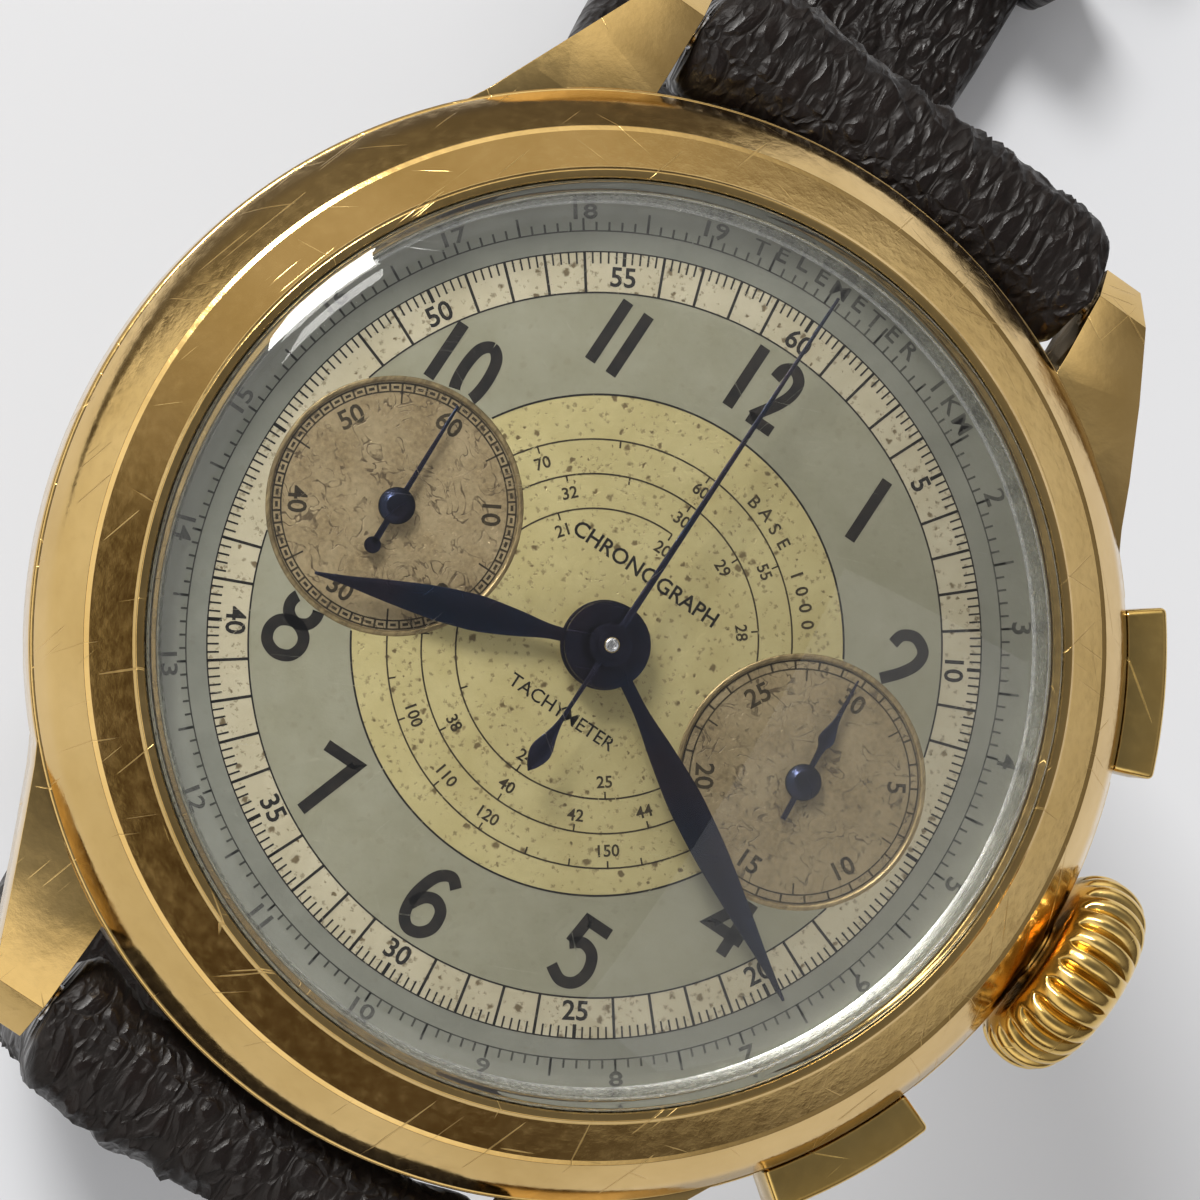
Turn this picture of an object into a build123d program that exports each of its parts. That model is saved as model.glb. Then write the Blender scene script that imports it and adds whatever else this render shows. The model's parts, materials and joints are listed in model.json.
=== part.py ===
"""Two-register chronograph wristwatch on a leather strap.

Millimetres. The origin is the centre of the case back's flat outer face, +Z leaves the dial,
+X points to 3 o'clock (the crown) and +Y to 12 o'clock.
"""
from build123d import *
from math import cos, hypot, pi, radians, sin
import os

os.makedirs("parts", exist_ok=True)

# ---- driving dimensions -------------------------------------------------------------------
running = 0.05          # radial clearance of a shaft in its bearing
free_gap = 0.10         # gap between pieces that only pass each other

case_radius = 20.15     # mid case, outside
case_low, case_top = 0.9, 5.3          # mid case wall, from the back to the bezel seat
bezel_bore, bezel_rim_z = case_radius - 3.70, 9.8
neck_radius, neck_top = bezel_bore + 0.95, 7.1         # spigot that the bezel snaps over
bezel_radius = case_radius - 0.15
bezel_ridge_radius, bezel_ridge_z = case_radius - 1.80, 8.3
movement_radius = 13.9
ring_radius = movement_radius + 0.9    # movement ring, outside
back_radius = case_radius - 1.85
back_floor = case_low   # thickness of the case back
spigot_radius, spigot_wall, spigot_top = bezel_bore - 0.35, 0.6, 2.0
crystal_wall = 0.55
crystal_apex = 12.3
crystal_shoulder = 10.2

lug_gap = 18.0          # standard strap width
lug_tip = case_radius + 2.75           # from the centre, along Y
lug_outer_tip, lug_outer_root = lug_gap / 2 + 2.0, lug_gap / 2 + 5.4
bar_y, bar_z = lug_tip - 1.6, 2.4      # spring bar axis
bar_radius, bar_pin_radius, bar_pin_length = 0.75, 0.40, 0.9

stem_z = 3.9
stem_radius = 0.55
crown_radius, crown_length, crown_start = 3.95, 3.2, case_radius + free_gap
crown_flutes, crown_recess = 26, 1.4
stem_square = 0.30      # half the square end of the stem, made round
tube_radius, tube_bore = 1.3, 0.75

pusher_angle = 29.0     # from 3 o'clock
pusher_z = 3.7
pusher_width, pusher_height = 6.4, 2.8
pusher_travel = 0.5
pusher_inner = case_radius + free_gap + pusher_travel
pusher_outer = pusher_inner + 1.0
pusher_stem_radius = 0.6
pusher_tube_radius = 1.1
pusher_stem_end = ring_radius + 0.15
spring_wire, spring_rings = 0.10, 3    # pusher return spring, as stacked rings

dial_radius, dial_low, dial_top = bezel_bore - 0.40, 6.6, 7.0
subdial_x, subdial_radius, subdial_depth = 8.8, 4.45, 0.12

plate_low, plate_top = 4.9, 5.9        # main plate
bridge_low, bridge_top = 2.7, 3.4      # train and barrel bridges
cock_low, cock_top = 2.2, 2.65         # balance cock
chrono_low, chrono_top = 1.25, 1.75    # chronograph bridge
arbor = 0.26                            # radius of a plain wheel arbor
sheet = 0.15                            # thickness of a wheel
screw_head, screw_shank, screw_head_height = 0.75, 0.40, 0.3

hand_sheet = 0.12
hour_z, minute_z, chrono_z, small_z = 7.95, 8.5, 9.1, 7.3
hour_length, minute_length, chrono_length, chrono_tail = 10.6, 14.1, 14.8, 5.3
small_length, small_tail = 4.2, 1.6
hour_angle, minute_angle = 250.0, 119.5                 # clockwise from 12
small_angle, counter_angle = -2.0, -4.5

strap_width, strap_end_width = lug_gap - 0.4, lug_gap - 2.0
strap_thick, strap_head = 3.0, 1.8
strap_floor = -50.0                    # centre line of the strap where it lies flat
buckle_half_corner = bar_y + 4.7       # where the drop's line meets the flat run's
buckle_half_end = buckle_half_corner + 32.0
hole_half_corner = -bar_y - 2.2
hole_half_end = hole_half_corner + 50.0
strap_bend = 14.0
tongue_hole_radius, tongue_hole_pitch, tongue_holes = 0.9, 6.0, 5

pin_radius = 0.6                       # buckle pin
buckle_arm, buckle_height = 1.4, 1.8
buckle_reach = 10.0
tongue_width = 2.0
keeper_wall, keeper_width, keeper_room = 0.9, 3.4, 2 * strap_thick - 0.4

# ---- arbor places in the movement -----------------------------------------------------------
centre = (0.0, 0.0)
fourth_at = (-subdial_x, 0.0)
recorder_at = (subdial_x, 0.0)
third_at = (-5.2, -3.6)
escape_at = (-9.85, 3.44)
pallet_at = (-8.08, 4.90)
balance_at = (-4.6, 7.6)
barrel_at = (4.0, 4.47)
crown_wheel_at = (10.9, 2.3)
minute_wheel_at = (0.0, -2.8)
column_at = (6.4, -8.2)
lever_at = (11.0, -6.4)
hammer_at = (1.2, -9.6)
clutch_at = (-3.2, -7.6)
coupling_at = (-5.72, 0.55)
click_at = (4.9, 11.3)


def distance(a, b):
    return hypot(a[0] - b[0], a[1] - b[1])


def share(a, b, ratio):
    """Pitch radii of a wheel and a pinion that mesh at the ratio given."""
    pinion = distance(a, b) / (1 + ratio)
    return distance(a, b) - pinion, pinion


centre_pitch, third_pinion = share(centre, third_at, 8.0)
third_pitch, fourth_pinion = share(third_at, fourth_at, 7.5)
fourth_pitch, escape_pinion = share(fourth_at, escape_at, 10.0)
barrel_pitch, centre_pinion = share(barrel_at, centre, 8.0)
minute_pitch, cannon_pitch = share(minute_wheel_at, centre, 3.0)
hour_pitch, minute_pinion = share(centre, minute_wheel_at, 4.0)
ratchet_pitch, crown_wheel_pitch = share(barrel_at, crown_wheel_at, 58 / 24)
mesh_gap = 0.03         # wheels end this far short of the pitch circle
tooth = 0.16            # depth of a tooth


def save(built, label):
    built.part.label = label
    export_step(built.part, f"parts/{label}.step")


def post(at, low, high, radius, mode=Mode.ADD):
    """A cylinder between two heights, added to the part being built."""
    with Locations((at[0], at[1], (low + high) / 2)):
        Cylinder(radius, high - low, mode=mode)


def toothed_disc(at, low, thick, pitch, teeth, windows=0):
    """A wheel blank with plain teeth that end just inside the pitch circle."""
    outside = pitch - mesh_gap
    root = outside - min(tooth, 0.3 * pitch)
    with BuildSketch(Plane.XY.offset(low)) as blank:
        with Locations(at):
            Circle(root)
            with PolarLocations((root + outside) / 2 - 0.02, teeth):
                Rectangle(outside - root + 0.04, pi * root / teeth)
            if windows:
                with PolarLocations(0.55 * root, windows):
                    Circle(0.26 * root, mode=Mode.SUBTRACT)
    extrude(blank.sketch, amount=thick)


# ---- case ----------------------------------------------------------------------------------
lug_root = lug_tip - 10.9              # the lugs start inside the wall of the case
lug_profile = [
    (lug_root, 1.4), (lug_root, case_top - 0.05), (lug_tip - 6.7, case_top - 0.05),
    (lug_tip - 4.0, 4.8), (lug_tip - 1.3, 3.9), (lug_tip, 2.4), (lug_tip - 0.2, 0.8),
    (lug_tip - 1.8, 0.3), (lug_tip - 5.5, 1.3),
]
lug_outline = [
    (lug_gap / 2, lug_root), (lug_outer_root + 1.2, lug_root),
    (lug_outer_root - 0.2, lug_tip - 8.3), (lug_outer_tip + 1.7, lug_tip - 4.9),
    (lug_outer_tip + 0.3, lug_tip - 1.7), (lug_outer_tip - 0.5, lug_tip + 0.1),
    (lug_gap / 2, lug_tip + 0.1),
]
with BuildPart() as mid_case:
    with BuildSketch(Plane.YZ):
        with BuildLine():
            Polyline(*lug_profile, close=True)
        make_face()
        mirror(about=Plane.YZ)
    extrude(amount=lug_outer_root + 2, both=True)
    with BuildSketch(Plane.XY):
        with BuildLine():
            Polyline(*lug_outline, close=True)
        make_face()
        mirror(about=Plane.YZ)
        mirror(about=Plane.XZ)
    extrude(amount=case_top, mode=Mode.INTERSECT)
    with BuildSketch(Plane.XZ):
        with BuildLine():
            Polyline(
                (0, case_low), (case_radius - 1.0, case_low), (case_radius, case_low + 1.0),
                (case_radius, case_top), (neck_radius, case_top), (neck_radius, neck_top),
                (0, neck_top), close=True,
            )
        make_face()
    revolve(axis=Axis.Z)
    post(centre, case_low, spigot_top + 0.1, spigot_radius + running, Mode.SUBTRACT)
    post(centre, spigot_top, dial_low, ring_radius + running, Mode.SUBTRACT)
    post(centre, dial_low, neck_top, dial_radius + running, Mode.SUBTRACT)
    with BuildSketch(Plane.YZ.offset(13.0)):
        with Locations((0, stem_z)):
            Circle(tube_radius)
    extrude(amount=8.0, mode=Mode.SUBTRACT)
    for side in (-pusher_angle, pusher_angle):
        with BuildSketch(Plane.YZ.rotated((0, 0, side)).offset(13.0)):
            with Locations((0, pusher_z)):
                Circle(pusher_tube_radius)
        extrude(amount=8.0, mode=Mode.SUBTRACT)
    for side in (-1, 1):
        with BuildSketch(Plane.YZ):
            with Locations((side * bar_y, bar_z)):
                Circle(strap_head + 2 * free_gap)
        extrude(amount=lug_gap / 2, both=True, mode=Mode.SUBTRACT)
        with BuildSketch(Plane.YZ):
            with Locations((side * bar_y, bar_z)):
                Circle(bar_pin_radius + running)
        extrude(amount=lug_gap / 2 + bar_pin_length + 0.2, both=True, mode=Mode.SUBTRACT)
save(mid_case, "mid_case")

with BuildPart() as bezel:
    with BuildSketch(Plane.XZ):
        with BuildLine():
            Polyline(
                (neck_radius, case_top), (bezel_radius, case_top), (bezel_radius, case_top + 0.25),
                (bezel_ridge_radius, bezel_ridge_z), (bezel_bore + 0.25, bezel_rim_z),
                (bezel_bore, bezel_rim_z - 0.1), (bezel_bore, neck_top), (neck_radius, neck_top),
                close=True,
            )
        make_face()
    revolve(axis=Axis.Z)
save(bezel, "bezel")

crystal_radius = bezel_bore - 0.02


def dome_point(edge_radius, edge_z, apex, radius):
    """A point on the spherical dome that has its top on the axis."""
    rise = apex - edge_z
    ball = (edge_radius ** 2 + rise ** 2) / (2 * rise)
    return radius, apex - ball + (ball ** 2 - radius ** 2) ** 0.5


outer_edge = (crystal_radius - 0.45, crystal_shoulder)
inner_edge = (crystal_radius - crystal_wall - 0.45, crystal_shoulder - 0.8)
inner_apex = crystal_apex - 0.9
with BuildPart() as crystal:
    with BuildSketch(Plane.XZ):
        with BuildLine():
            Polyline((0, inner_apex), (0, crystal_apex))
            ThreePointArc((0, crystal_apex),
                          dome_point(*outer_edge, crystal_apex, crystal_radius / 2), outer_edge)
            Polyline(outer_edge, (crystal_radius, bezel_rim_z), (crystal_radius, neck_top),
                     (crystal_radius - crystal_wall, neck_top),
                     (crystal_radius - crystal_wall, crystal_shoulder - 1.4), inner_edge)
            ThreePointArc(inner_edge, dome_point(*inner_edge, inner_apex, crystal_radius / 2),
                          (0, inner_apex))
        make_face()
    revolve(axis=Axis.Z)
save(crystal, "crystal")

with BuildPart() as case_back:
    with BuildSketch(Plane.XZ):
        with BuildLine():
            Polyline((0, 0), (back_radius - 0.7, 0), (back_radius, 0.5), (back_radius, back_floor),
                     (0, back_floor), close=True)
        make_face()
    revolve(axis=Axis.Z)
    post(centre, back_floor, spigot_top, spigot_radius)
    post(centre, back_floor, spigot_top, spigot_radius - spigot_wall, Mode.SUBTRACT)
    with BuildSketch(Plane.XY.offset(back_floor - 0.25)):
        with PolarLocations(back_radius - 0.2, 1, start_angle=-135):
            Rectangle(1.2, 3.0)
    extrude(amount=0.25, mode=Mode.SUBTRACT)
save(case_back, "case_back")

with BuildPart() as movement_ring:
    post(centre, plate_low, dial_low, ring_radius)
    post(centre, plate_low, dial_low, movement_radius + running, Mode.SUBTRACT)
save(movement_ring, "movement_ring")

with BuildPart() as crown_tube:
    with BuildSketch(Plane.YZ.offset(case_radius - 2.6)):
        with Locations((0, stem_z)):
            Circle(tube_radius)
            Circle(tube_bore, mode=Mode.SUBTRACT)
    extrude(amount=3.1)
save(crown_tube, "crown_tube")

with BuildPart() as pusher_tubes:
    for side in (-pusher_angle, pusher_angle):
        with BuildSketch(Plane.YZ.rotated((0, 0, side)).offset(case_radius - 3.0)):
            with Locations((0, pusher_z)):
                Circle(pusher_tube_radius)
                Circle(pusher_stem_radius + running, mode=Mode.SUBTRACT)
        extrude(amount=3.0)
save(pusher_tubes, "pusher_tubes")

# ---- crown, stem and keyless work ----------------------------------------------------------
with BuildPart() as crown:
    with BuildSketch(Plane.XZ):
        with BuildLine():
            Polyline((crown_start, stem_z), (crown_start, stem_z + crown_radius - 0.9),
                     (crown_start + 0.9, stem_z + crown_radius - 0.15),
                     (crown_start + 2.0, stem_z + crown_radius - 0.15),
                     (crown_start + crown_length - 0.4, stem_z + crown_radius - 0.9),
                     (crown_start + crown_length, stem_z + crown_radius - 1.8),
                     (crown_start + crown_length, stem_z), close=True)
        make_face()
    revolve(axis=Axis((0, 0, stem_z), (1, 0, 0)))
    with BuildSketch(Plane.YZ.offset(crown_start)):
        with Locations((0, stem_z)):
            with PolarLocations(crown_radius, crown_flutes):
                Circle(0.27, mode=Mode.ADD)
    extrude(amount=crown_length, mode=Mode.SUBTRACT)
    with BuildSketch(Plane.YZ.offset(crown_start)):
        with Locations((0, stem_z)):
            Circle(tube_radius + free_gap)
    extrude(amount=crown_recess, mode=Mode.SUBTRACT)
save(crown, "crown")

stem_inner, stem_step = 9.6, 14.2      # the inner end of the stem, and where it gets thicker
pinion_start, pinion_length = 10.5, 1.3
sliding_start, sliding_length = 12.1, 1.2
with BuildPart() as winding_stem:
    with BuildSketch(Plane.YZ.offset(stem_inner)):
        with Locations((0, stem_z)):
            Circle(stem_square)
    extrude(amount=stem_step - stem_inner)
    with BuildSketch(Plane.YZ.offset(stem_step)):
        with Locations((0, stem_z)):
            Circle(stem_radius)
    extrude(amount=crown_start + crown_recess - stem_step)
save(winding_stem, "winding_stem")


def stem_pinion(label, start, length, radius, teeth):
    with BuildPart() as pinion:
        with BuildSketch(Plane.YZ.offset(start)):
            with Locations((0, stem_z)):
                Circle(radius - tooth)
                with PolarLocations(radius - tooth / 2 - 0.02, teeth):
                    Rectangle(tooth + 0.04, pi * radius / teeth)
                Circle(stem_square + running, mode=Mode.SUBTRACT)
        extrude(amount=length)
    save(pinion, label)


stem_pinion("winding_pinion", pinion_start, pinion_length, 0.95, 15)
stem_pinion("sliding_pinion", sliding_start, sliding_length, 0.90, 18)

ratchet_low = bridge_low - 0.32
with BuildPart() as crown_wheel:
    toothed_disc(crown_wheel_at, ratchet_low, 0.22, crown_wheel_pitch, 24)
    post(crown_wheel_at, ratchet_low, bridge_low + 0.5, arbor)
save(crown_wheel, "crown_wheel")

with BuildPart() as ratchet_wheel:
    toothed_disc(barrel_at, ratchet_low, 0.22, ratchet_pitch, 58, windows=5)
    post(barrel_at, ratchet_low, ratchet_low + 0.22, 0.5, Mode.SUBTRACT)
save(ratchet_wheel, "ratchet_wheel")

with BuildPart() as click:
    with BuildSketch(Plane.XY.offset(ratchet_low)):
        with Locations(click_at):
            Circle(0.55)
        with Locations((click_at[0] - 0.55, click_at[1] - 0.6)):
            Circle(0.16)
        make_hull()
    extrude(amount=0.22)
    post(click_at, ratchet_low, bridge_low + 0.5, arbor)
save(click, "click")

# ---- barrel --------------------------------------------------------------------------------
barrel_low, barrel_high = 3.5, 4.3
barrel_wall, barrel_end = 0.35, 0.15
arbor_radius = 0.5
with BuildPart() as mainspring_barrel:
    toothed_disc(barrel_at, barrel_low, 0.25, barrel_pitch, 80)
    post(barrel_at, barrel_low, barrel_high, barrel_pitch - mesh_gap - tooth)
    inner = barrel_pitch - mesh_gap - tooth - barrel_wall
    post(barrel_at, barrel_low + barrel_end, barrel_high - barrel_end, inner, Mode.SUBTRACT)
    post(barrel_at, barrel_low, barrel_high, arbor_radius + running, Mode.SUBTRACT)
save(mainspring_barrel, "mainspring_barrel")

with BuildPart() as barrel_arbor:
    post(barrel_at, ratchet_low, plate_low + 0.5, arbor_radius)
save(barrel_arbor, "barrel_arbor")

coils, strip = 6, 0.12
with BuildPart() as mainspring:
    with BuildSketch(Plane.XY.offset(barrel_low + 0.2)):
        with Locations(barrel_at):
            for turn in range(coils):
                radius = inner - 0.10 - turn * 0.3
                Circle(radius)
                Circle(radius - strip, mode=Mode.SUBTRACT)
            with Locations((inner - 0.10 - coils * 0.15, 0)):
                Rectangle(coils * 0.3 - 0.2, strip)
    extrude(amount=barrel_high - barrel_low - 0.4)
save(mainspring, "mainspring")

# ---- going train -----------------------------------------------------------------------------
centre_bore, centre_tube = 0.33, 0.60
with BuildPart() as centre_wheel:
    toothed_disc(centre, 4.45, sheet, centre_pitch, 80, windows=5)
    post(centre, bridge_low + 0.05, plate_top, centre_tube)
    post(centre, barrel_low, barrel_high, centre_pinion - mesh_gap)
    post(centre, bridge_low, plate_top, centre_bore, Mode.SUBTRACT)
save(centre_wheel, "centre_wheel")


def train_wheel(label, at, low, pitch, teeth, pinion, pinion_low, pinion_high, windows, top):
    with BuildPart() as wheel:
        toothed_disc(at, low, sheet, pitch, teeth, windows)
        toothed_disc(at, pinion_low, pinion_high - pinion_low, pinion, 10)
        post(at, bridge_low + 0.2, top, arbor)
    save(wheel, label)


pivot_top = plate_low + 0.6
train_wheel("third_wheel", third_at, 4.15, third_pitch, 75, third_pinion, 4.35, 4.7, 4, pivot_top)
train_wheel("escape_wheel", escape_at, 3.95, 1.7, 15, escape_pinion, 3.7, 3.93, 0, pivot_top)

driver_pitch = 2.0      # wheel under the train bridge that drives the chronograph
with BuildPart() as fourth_wheel:
    toothed_disc(fourth_at, 3.75, sheet, fourth_pitch, 80, 5)
    toothed_disc(fourth_at, 4.1, 0.25, fourth_pinion, 10)
    toothed_disc(fourth_at, 1.95, sheet, driver_pitch, 60, 4)
    post(fourth_at, 1.9, small_z + 0.3, arbor)
save(fourth_wheel, "fourth_wheel")

with BuildPart() as pallet_fork:
    reach = (balance_at[0] - pallet_at[0], balance_at[1] - pallet_at[1])
    size = hypot(*reach)
    along = (reach[0] / size, reach[1] / size)
    across = (-along[1], along[0])
    with BuildSketch(Plane.XY.offset(3.95)):
        for end, width in ((2.0, 0.18), (0.0, 0.45)):
            with Locations((pallet_at[0] + end * along[0], pallet_at[1] + end * along[1])):
                Circle(width)
        make_hull()
        with Locations((pallet_at[0], pallet_at[1])):
            with Locations((0.9 * across[0], 0.9 * across[1]), (-0.9 * across[0], -0.9 * across[1])):
                Circle(0.22)
        with BuildLine():
            Line((pallet_at[0] - 0.9 * across[0], pallet_at[1] - 0.9 * across[1]),
                 (pallet_at[0] + 0.9 * across[0], pallet_at[1] + 0.9 * across[1]))
        trace(line_width=0.3)
    extrude(amount=sheet)
    post(pallet_at, bridge_low + 0.2, pivot_top, 0.16)
save(pallet_fork, "pallet_fork")

balance_radius = 3.6
with BuildPart() as balance_wheel:
    with BuildSketch(Plane.XY.offset(3.5)):
        with Locations(balance_at):
            Circle(balance_radius)
            Circle(balance_radius - 0.35, mode=Mode.SUBTRACT)
            Rectangle(2 * balance_radius - 0.3, 0.35)
            Circle(0.5)
    extrude(amount=0.22)
    with BuildSketch(Plane.XY.offset(3.5)):
        with Locations(balance_at):
            with PolarLocations(balance_radius - 0.17, 14, start_angle=12):
                Circle(0.13)
    extrude(amount=0.3)
    post(balance_at, cock_low + 0.2, pivot_top, 0.16)
save(balance_wheel, "balance_wheel")

with BuildPart() as hairspring:
    with BuildSketch(Plane.XY.offset(3.05)):
        with Locations(balance_at):
            for turn in range(7):
                radius = 2.0 - turn * 0.22
                Circle(radius)
                Circle(radius - 0.05, mode=Mode.SUBTRACT)
            with Locations((1.2, 0)):
                Rectangle(1.5, 0.05)
            Circle(0.42)
            Circle(0.20, mode=Mode.SUBTRACT)
            with Locations((0.5, 0)):
                Rectangle(0.2, 0.05)
    extrude(amount=0.15)
save(hairspring, "hairspring")

# ---- motion work -----------------------------------------------------------------------------
hour_bore, hour_pipe = centre_tube + running, 0.95
with BuildPart() as cannon_pinion:
    post(centre, plate_top, minute_z + 0.4, centre_tube)
    toothed_disc(centre, plate_top + 0.05, 0.22, cannon_pitch, 12)
    post(centre, plate_top, minute_z + 0.4, centre_bore, Mode.SUBTRACT)
save(cannon_pinion, "cannon_pinion")

with BuildPart() as minute_wheel:
    toothed_disc(minute_wheel_at, plate_top + 0.07, sheet, minute_pitch, 36)
    toothed_disc(minute_wheel_at, plate_top + 0.22, 0.28, minute_pinion, 10)
    post(minute_wheel_at, plate_low + 0.3, plate_top + 0.5, arbor)
save(minute_wheel, "minute_wheel")

with BuildPart() as hour_wheel:
    toothed_disc(centre, plate_top + 0.35, sheet, hour_pitch, 40)
    post(centre, plate_top + 0.35, hour_z + 0.3, hour_pipe)
    post(centre, plate_top, hour_z + 0.4, hour_bore, Mode.SUBTRACT)
save(hour_wheel, "hour_wheel")

# ---- dial and hands ----------------------------------------------------------------------------
with BuildPart() as dial:
    post(centre, dial_low, dial_top, dial_radius)
    for at in (fourth_at, recorder_at):
        post(at, dial_top - subdial_depth, dial_top, subdial_radius, Mode.SUBTRACT)
        post(at, dial_low, dial_top, arbor + free_gap, Mode.SUBTRACT)
    post(centre, dial_low, dial_top, hour_pipe + free_gap, Mode.SUBTRACT)
    for angle in (70, 250):
        foot = (13.0 * cos(radians(angle)), 13.0 * sin(radians(angle)))
        post(foot, plate_low + 0.3, dial_low, 0.4)
save(dial, "dial")


def turned(angle):
    """A sketch plane whose +Y is the hand's direction, angle clockwise from 12."""
    return Plane.XY.rotated((0, 0, -angle))


def leaf_hand(label, low, angle, length, width, hub, bore):
    with BuildPart() as hand:
        with BuildSketch(turned(angle).offset(low)):
            with BuildLine():
                Polyline((-0.22, 0), (-0.26, hub + 0.4), (-width / 2, 0.42 * length), (-0.06, length),
                         (0.06, length), (width / 2, 0.42 * length), (0.26, hub + 0.4), (0.22, 0),
                         close=True)
            make_face()
            Circle(hub)
            Circle(bore, mode=Mode.SUBTRACT)
        extrude(amount=hand_sheet)
        post(centre, low - 0.15, low, bore + 0.45)
        post(centre, low - 0.15, low, bore, Mode.SUBTRACT)
    save(hand, label)


leaf_hand("hour_hand", hour_z, hour_angle, hour_length, 1.25, 1.6, hour_pipe)
leaf_hand("minute_hand", minute_z, minute_angle, minute_length, 1.25, 1.55, centre_tube)

runner_arbor = 0.27
with BuildPart() as chrono_seconds_hand:
    with BuildSketch(turned(0).offset(chrono_z)):
        with BuildLine():
            Polyline((-0.12, 0), (-0.04, chrono_length), (0.04, chrono_length), (0.12, 0), close=True)
        make_face()
        with BuildLine():
            Polyline((-0.12, 0), (0.12, 0), (0.10, -3.4), (0.35, -4.5), (0.0, -chrono_tail),
                     (-0.35, -4.5), (-0.10, -3.4), close=True)
        make_face()
        Circle(0.75)
        Circle(runner_arbor, mode=Mode.SUBTRACT)
    extrude(amount=hand_sheet)
    post(centre, chrono_z + hand_sheet, chrono_z + 0.32, 0.5)
    post(centre, chrono_z + hand_sheet, chrono_z + 0.32, runner_arbor, Mode.SUBTRACT)
save(chrono_seconds_hand, "chrono_seconds_hand")


def small_hand(label, at, angle, tail_disc):
    with BuildPart() as hand:
        with BuildSketch(Plane.XY.offset(small_z).move(Location((at[0], at[1], 0))).rotated((0, 0, -angle))):
            with BuildLine():
                Polyline((-0.16, -small_tail), (-0.16, 0.8), (-0.28, 1.7), (-0.04, small_length),
                         (0.04, small_length), (0.28, 1.7), (0.16, 0.8), (0.16, -small_tail), close=True)
            make_face()
            Circle(0.62)
            if tail_disc:
                with Locations((0, -small_tail)):
                    Circle(0.3)
            Circle(arbor, mode=Mode.SUBTRACT)
        extrude(amount=hand_sheet)
        post(at, small_z + hand_sheet, small_z + 0.3, 0.45)
        post(at, small_z + hand_sheet, small_z + 0.3, arbor, Mode.SUBTRACT)
    save(hand, label)


small_hand("small_seconds_hand", fourth_at, small_angle, True)
small_hand("minute_counter_hand", recorder_at, counter_angle, False)

# ---- chronograph work --------------------------------------------------------------------------
runner_pitch, recorder_pitch, coupling_pitch = 4.6, 3.4, 1.05
runner_low = 1.95
with BuildPart() as chronograph_runner:
    toothed_disc(centre, runner_low, sheet, runner_pitch, 120, windows=5)
    post(centre, chrono_low + 0.1, chrono_z + 0.35, runner_arbor)
    with Locations((0.18, 0, runner_low + 0.35)):
        Cylinder(0.75, 0.24)
    post(centre, runner_low, runner_low + 0.5, 0.5)
save(chronograph_runner, "chronograph_runner")

with BuildPart() as minute_recorder_wheel:
    toothed_disc(recorder_at, runner_low, sheet, recorder_pitch, 30, windows=5)
    post(recorder_at, chrono_low + 0.1, small_z + 0.3, arbor)
    with Locations((recorder_at[0] + 0.15, recorder_at[1], runner_low + 0.3)):
        Cylinder(0.6, 0.2)
    post(recorder_at, runner_low, runner_low + 0.4, 0.40)
save(minute_recorder_wheel, "minute_recorder_wheel")


def lever(label, pivot, low, thick, arms, tip=0.35, hub=0.8, shaft_top=bridge_low + 0.5):
    """A flat lever: a hub at its pivot and an arm to each end given."""
    with BuildPart() as built:
        for route in arms:
            with BuildSketch(Plane.XY.offset(low)):
                with BuildLine():
                    Polyline(pivot, *route)
                trace(line_width=2 * tip)
            extrude(amount=thick)
        post(pivot, low, low + thick, hub)
        post(pivot, low, shaft_top, arbor)
    save(built, label)



with BuildPart() as column_wheel:
    toothed_disc(column_at, 1.3, 0.2, 1.5, 18)
    with BuildSketch(Plane.XY.offset(1.5)):
        with Locations(column_at):
            with PolarLocations(1.0, 6):
                Rectangle(0.55, 0.5)
            Circle(0.75)
    extrude(amount=0.6)
    post(column_at, 1.3, plate_low + 0.4, arbor)
save(column_wheel, "column_wheel")

coupling_low = runner_low
with BuildPart() as coupling_wheel:
    toothed_disc(coupling_at, coupling_low, sheet, coupling_pitch, 36)
    post(coupling_at, 1.35, coupling_low + 0.3, arbor)
save(coupling_wheel, "coupling_wheel")

lever_low = 1.3
with BuildPart() as clutch_lever:
    with BuildSketch(Plane.XY.offset(lever_low)):
        with BuildLine():
            Polyline(coupling_at, (-6.6, -3.4), clutch_at, (2.6, -9.0))
        trace(line_width=0.8)
        with Locations(coupling_at):
            Circle(0.6)
            Circle(arbor + running, mode=Mode.SUBTRACT)
        with Locations(clutch_at):
            Circle(0.8)
    extrude(amount=0.35)
    post(clutch_at, lever_low, bridge_low + 0.5, arbor)
save(clutch_lever, "clutch_lever")

lever("operating_lever", lever_at, 1.85, 0.25,
      [[(13.4, -3.2), (13.6, 2.0), (12.55, 6.6)], [(8.6, -7.6)]],
      tip=0.3, shaft_top=plate_low + 0.4)
lever("reset_hammer", hammer_at, 2.2, 0.3, [[(5.6, -6.6), (9.2, -9.2), (11.8, -8.0)]],
      tip=0.3, shaft_top=bridge_low + 0.5)

# ---- plate and bridges ---------------------------------------------------------------------------
with BuildPart() as main_plate:
    post(centre, plate_low, plate_top, movement_radius)
    for at in (third_at, escape_at, column_at, lever_at, minute_wheel_at, fourth_at, recorder_at):
        post(at, plate_low, plate_top, arbor + running, Mode.SUBTRACT)
    for at in (pallet_at, balance_at):
        post(at, plate_low, plate_top, 0.16 + running, Mode.SUBTRACT)
    post(centre, plate_low, plate_top, centre_tube + running, Mode.SUBTRACT)
    post(barrel_at, plate_low, plate_top, arbor_radius + running, Mode.SUBTRACT)
    for angle in (70, 250):
        foot = (13.0 * cos(radians(angle)), 13.0 * sin(radians(angle)))
        post(foot, plate_low, plate_top, 0.4 + running, Mode.SUBTRACT)
save(main_plate, "main_plate")

screws = []


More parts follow.
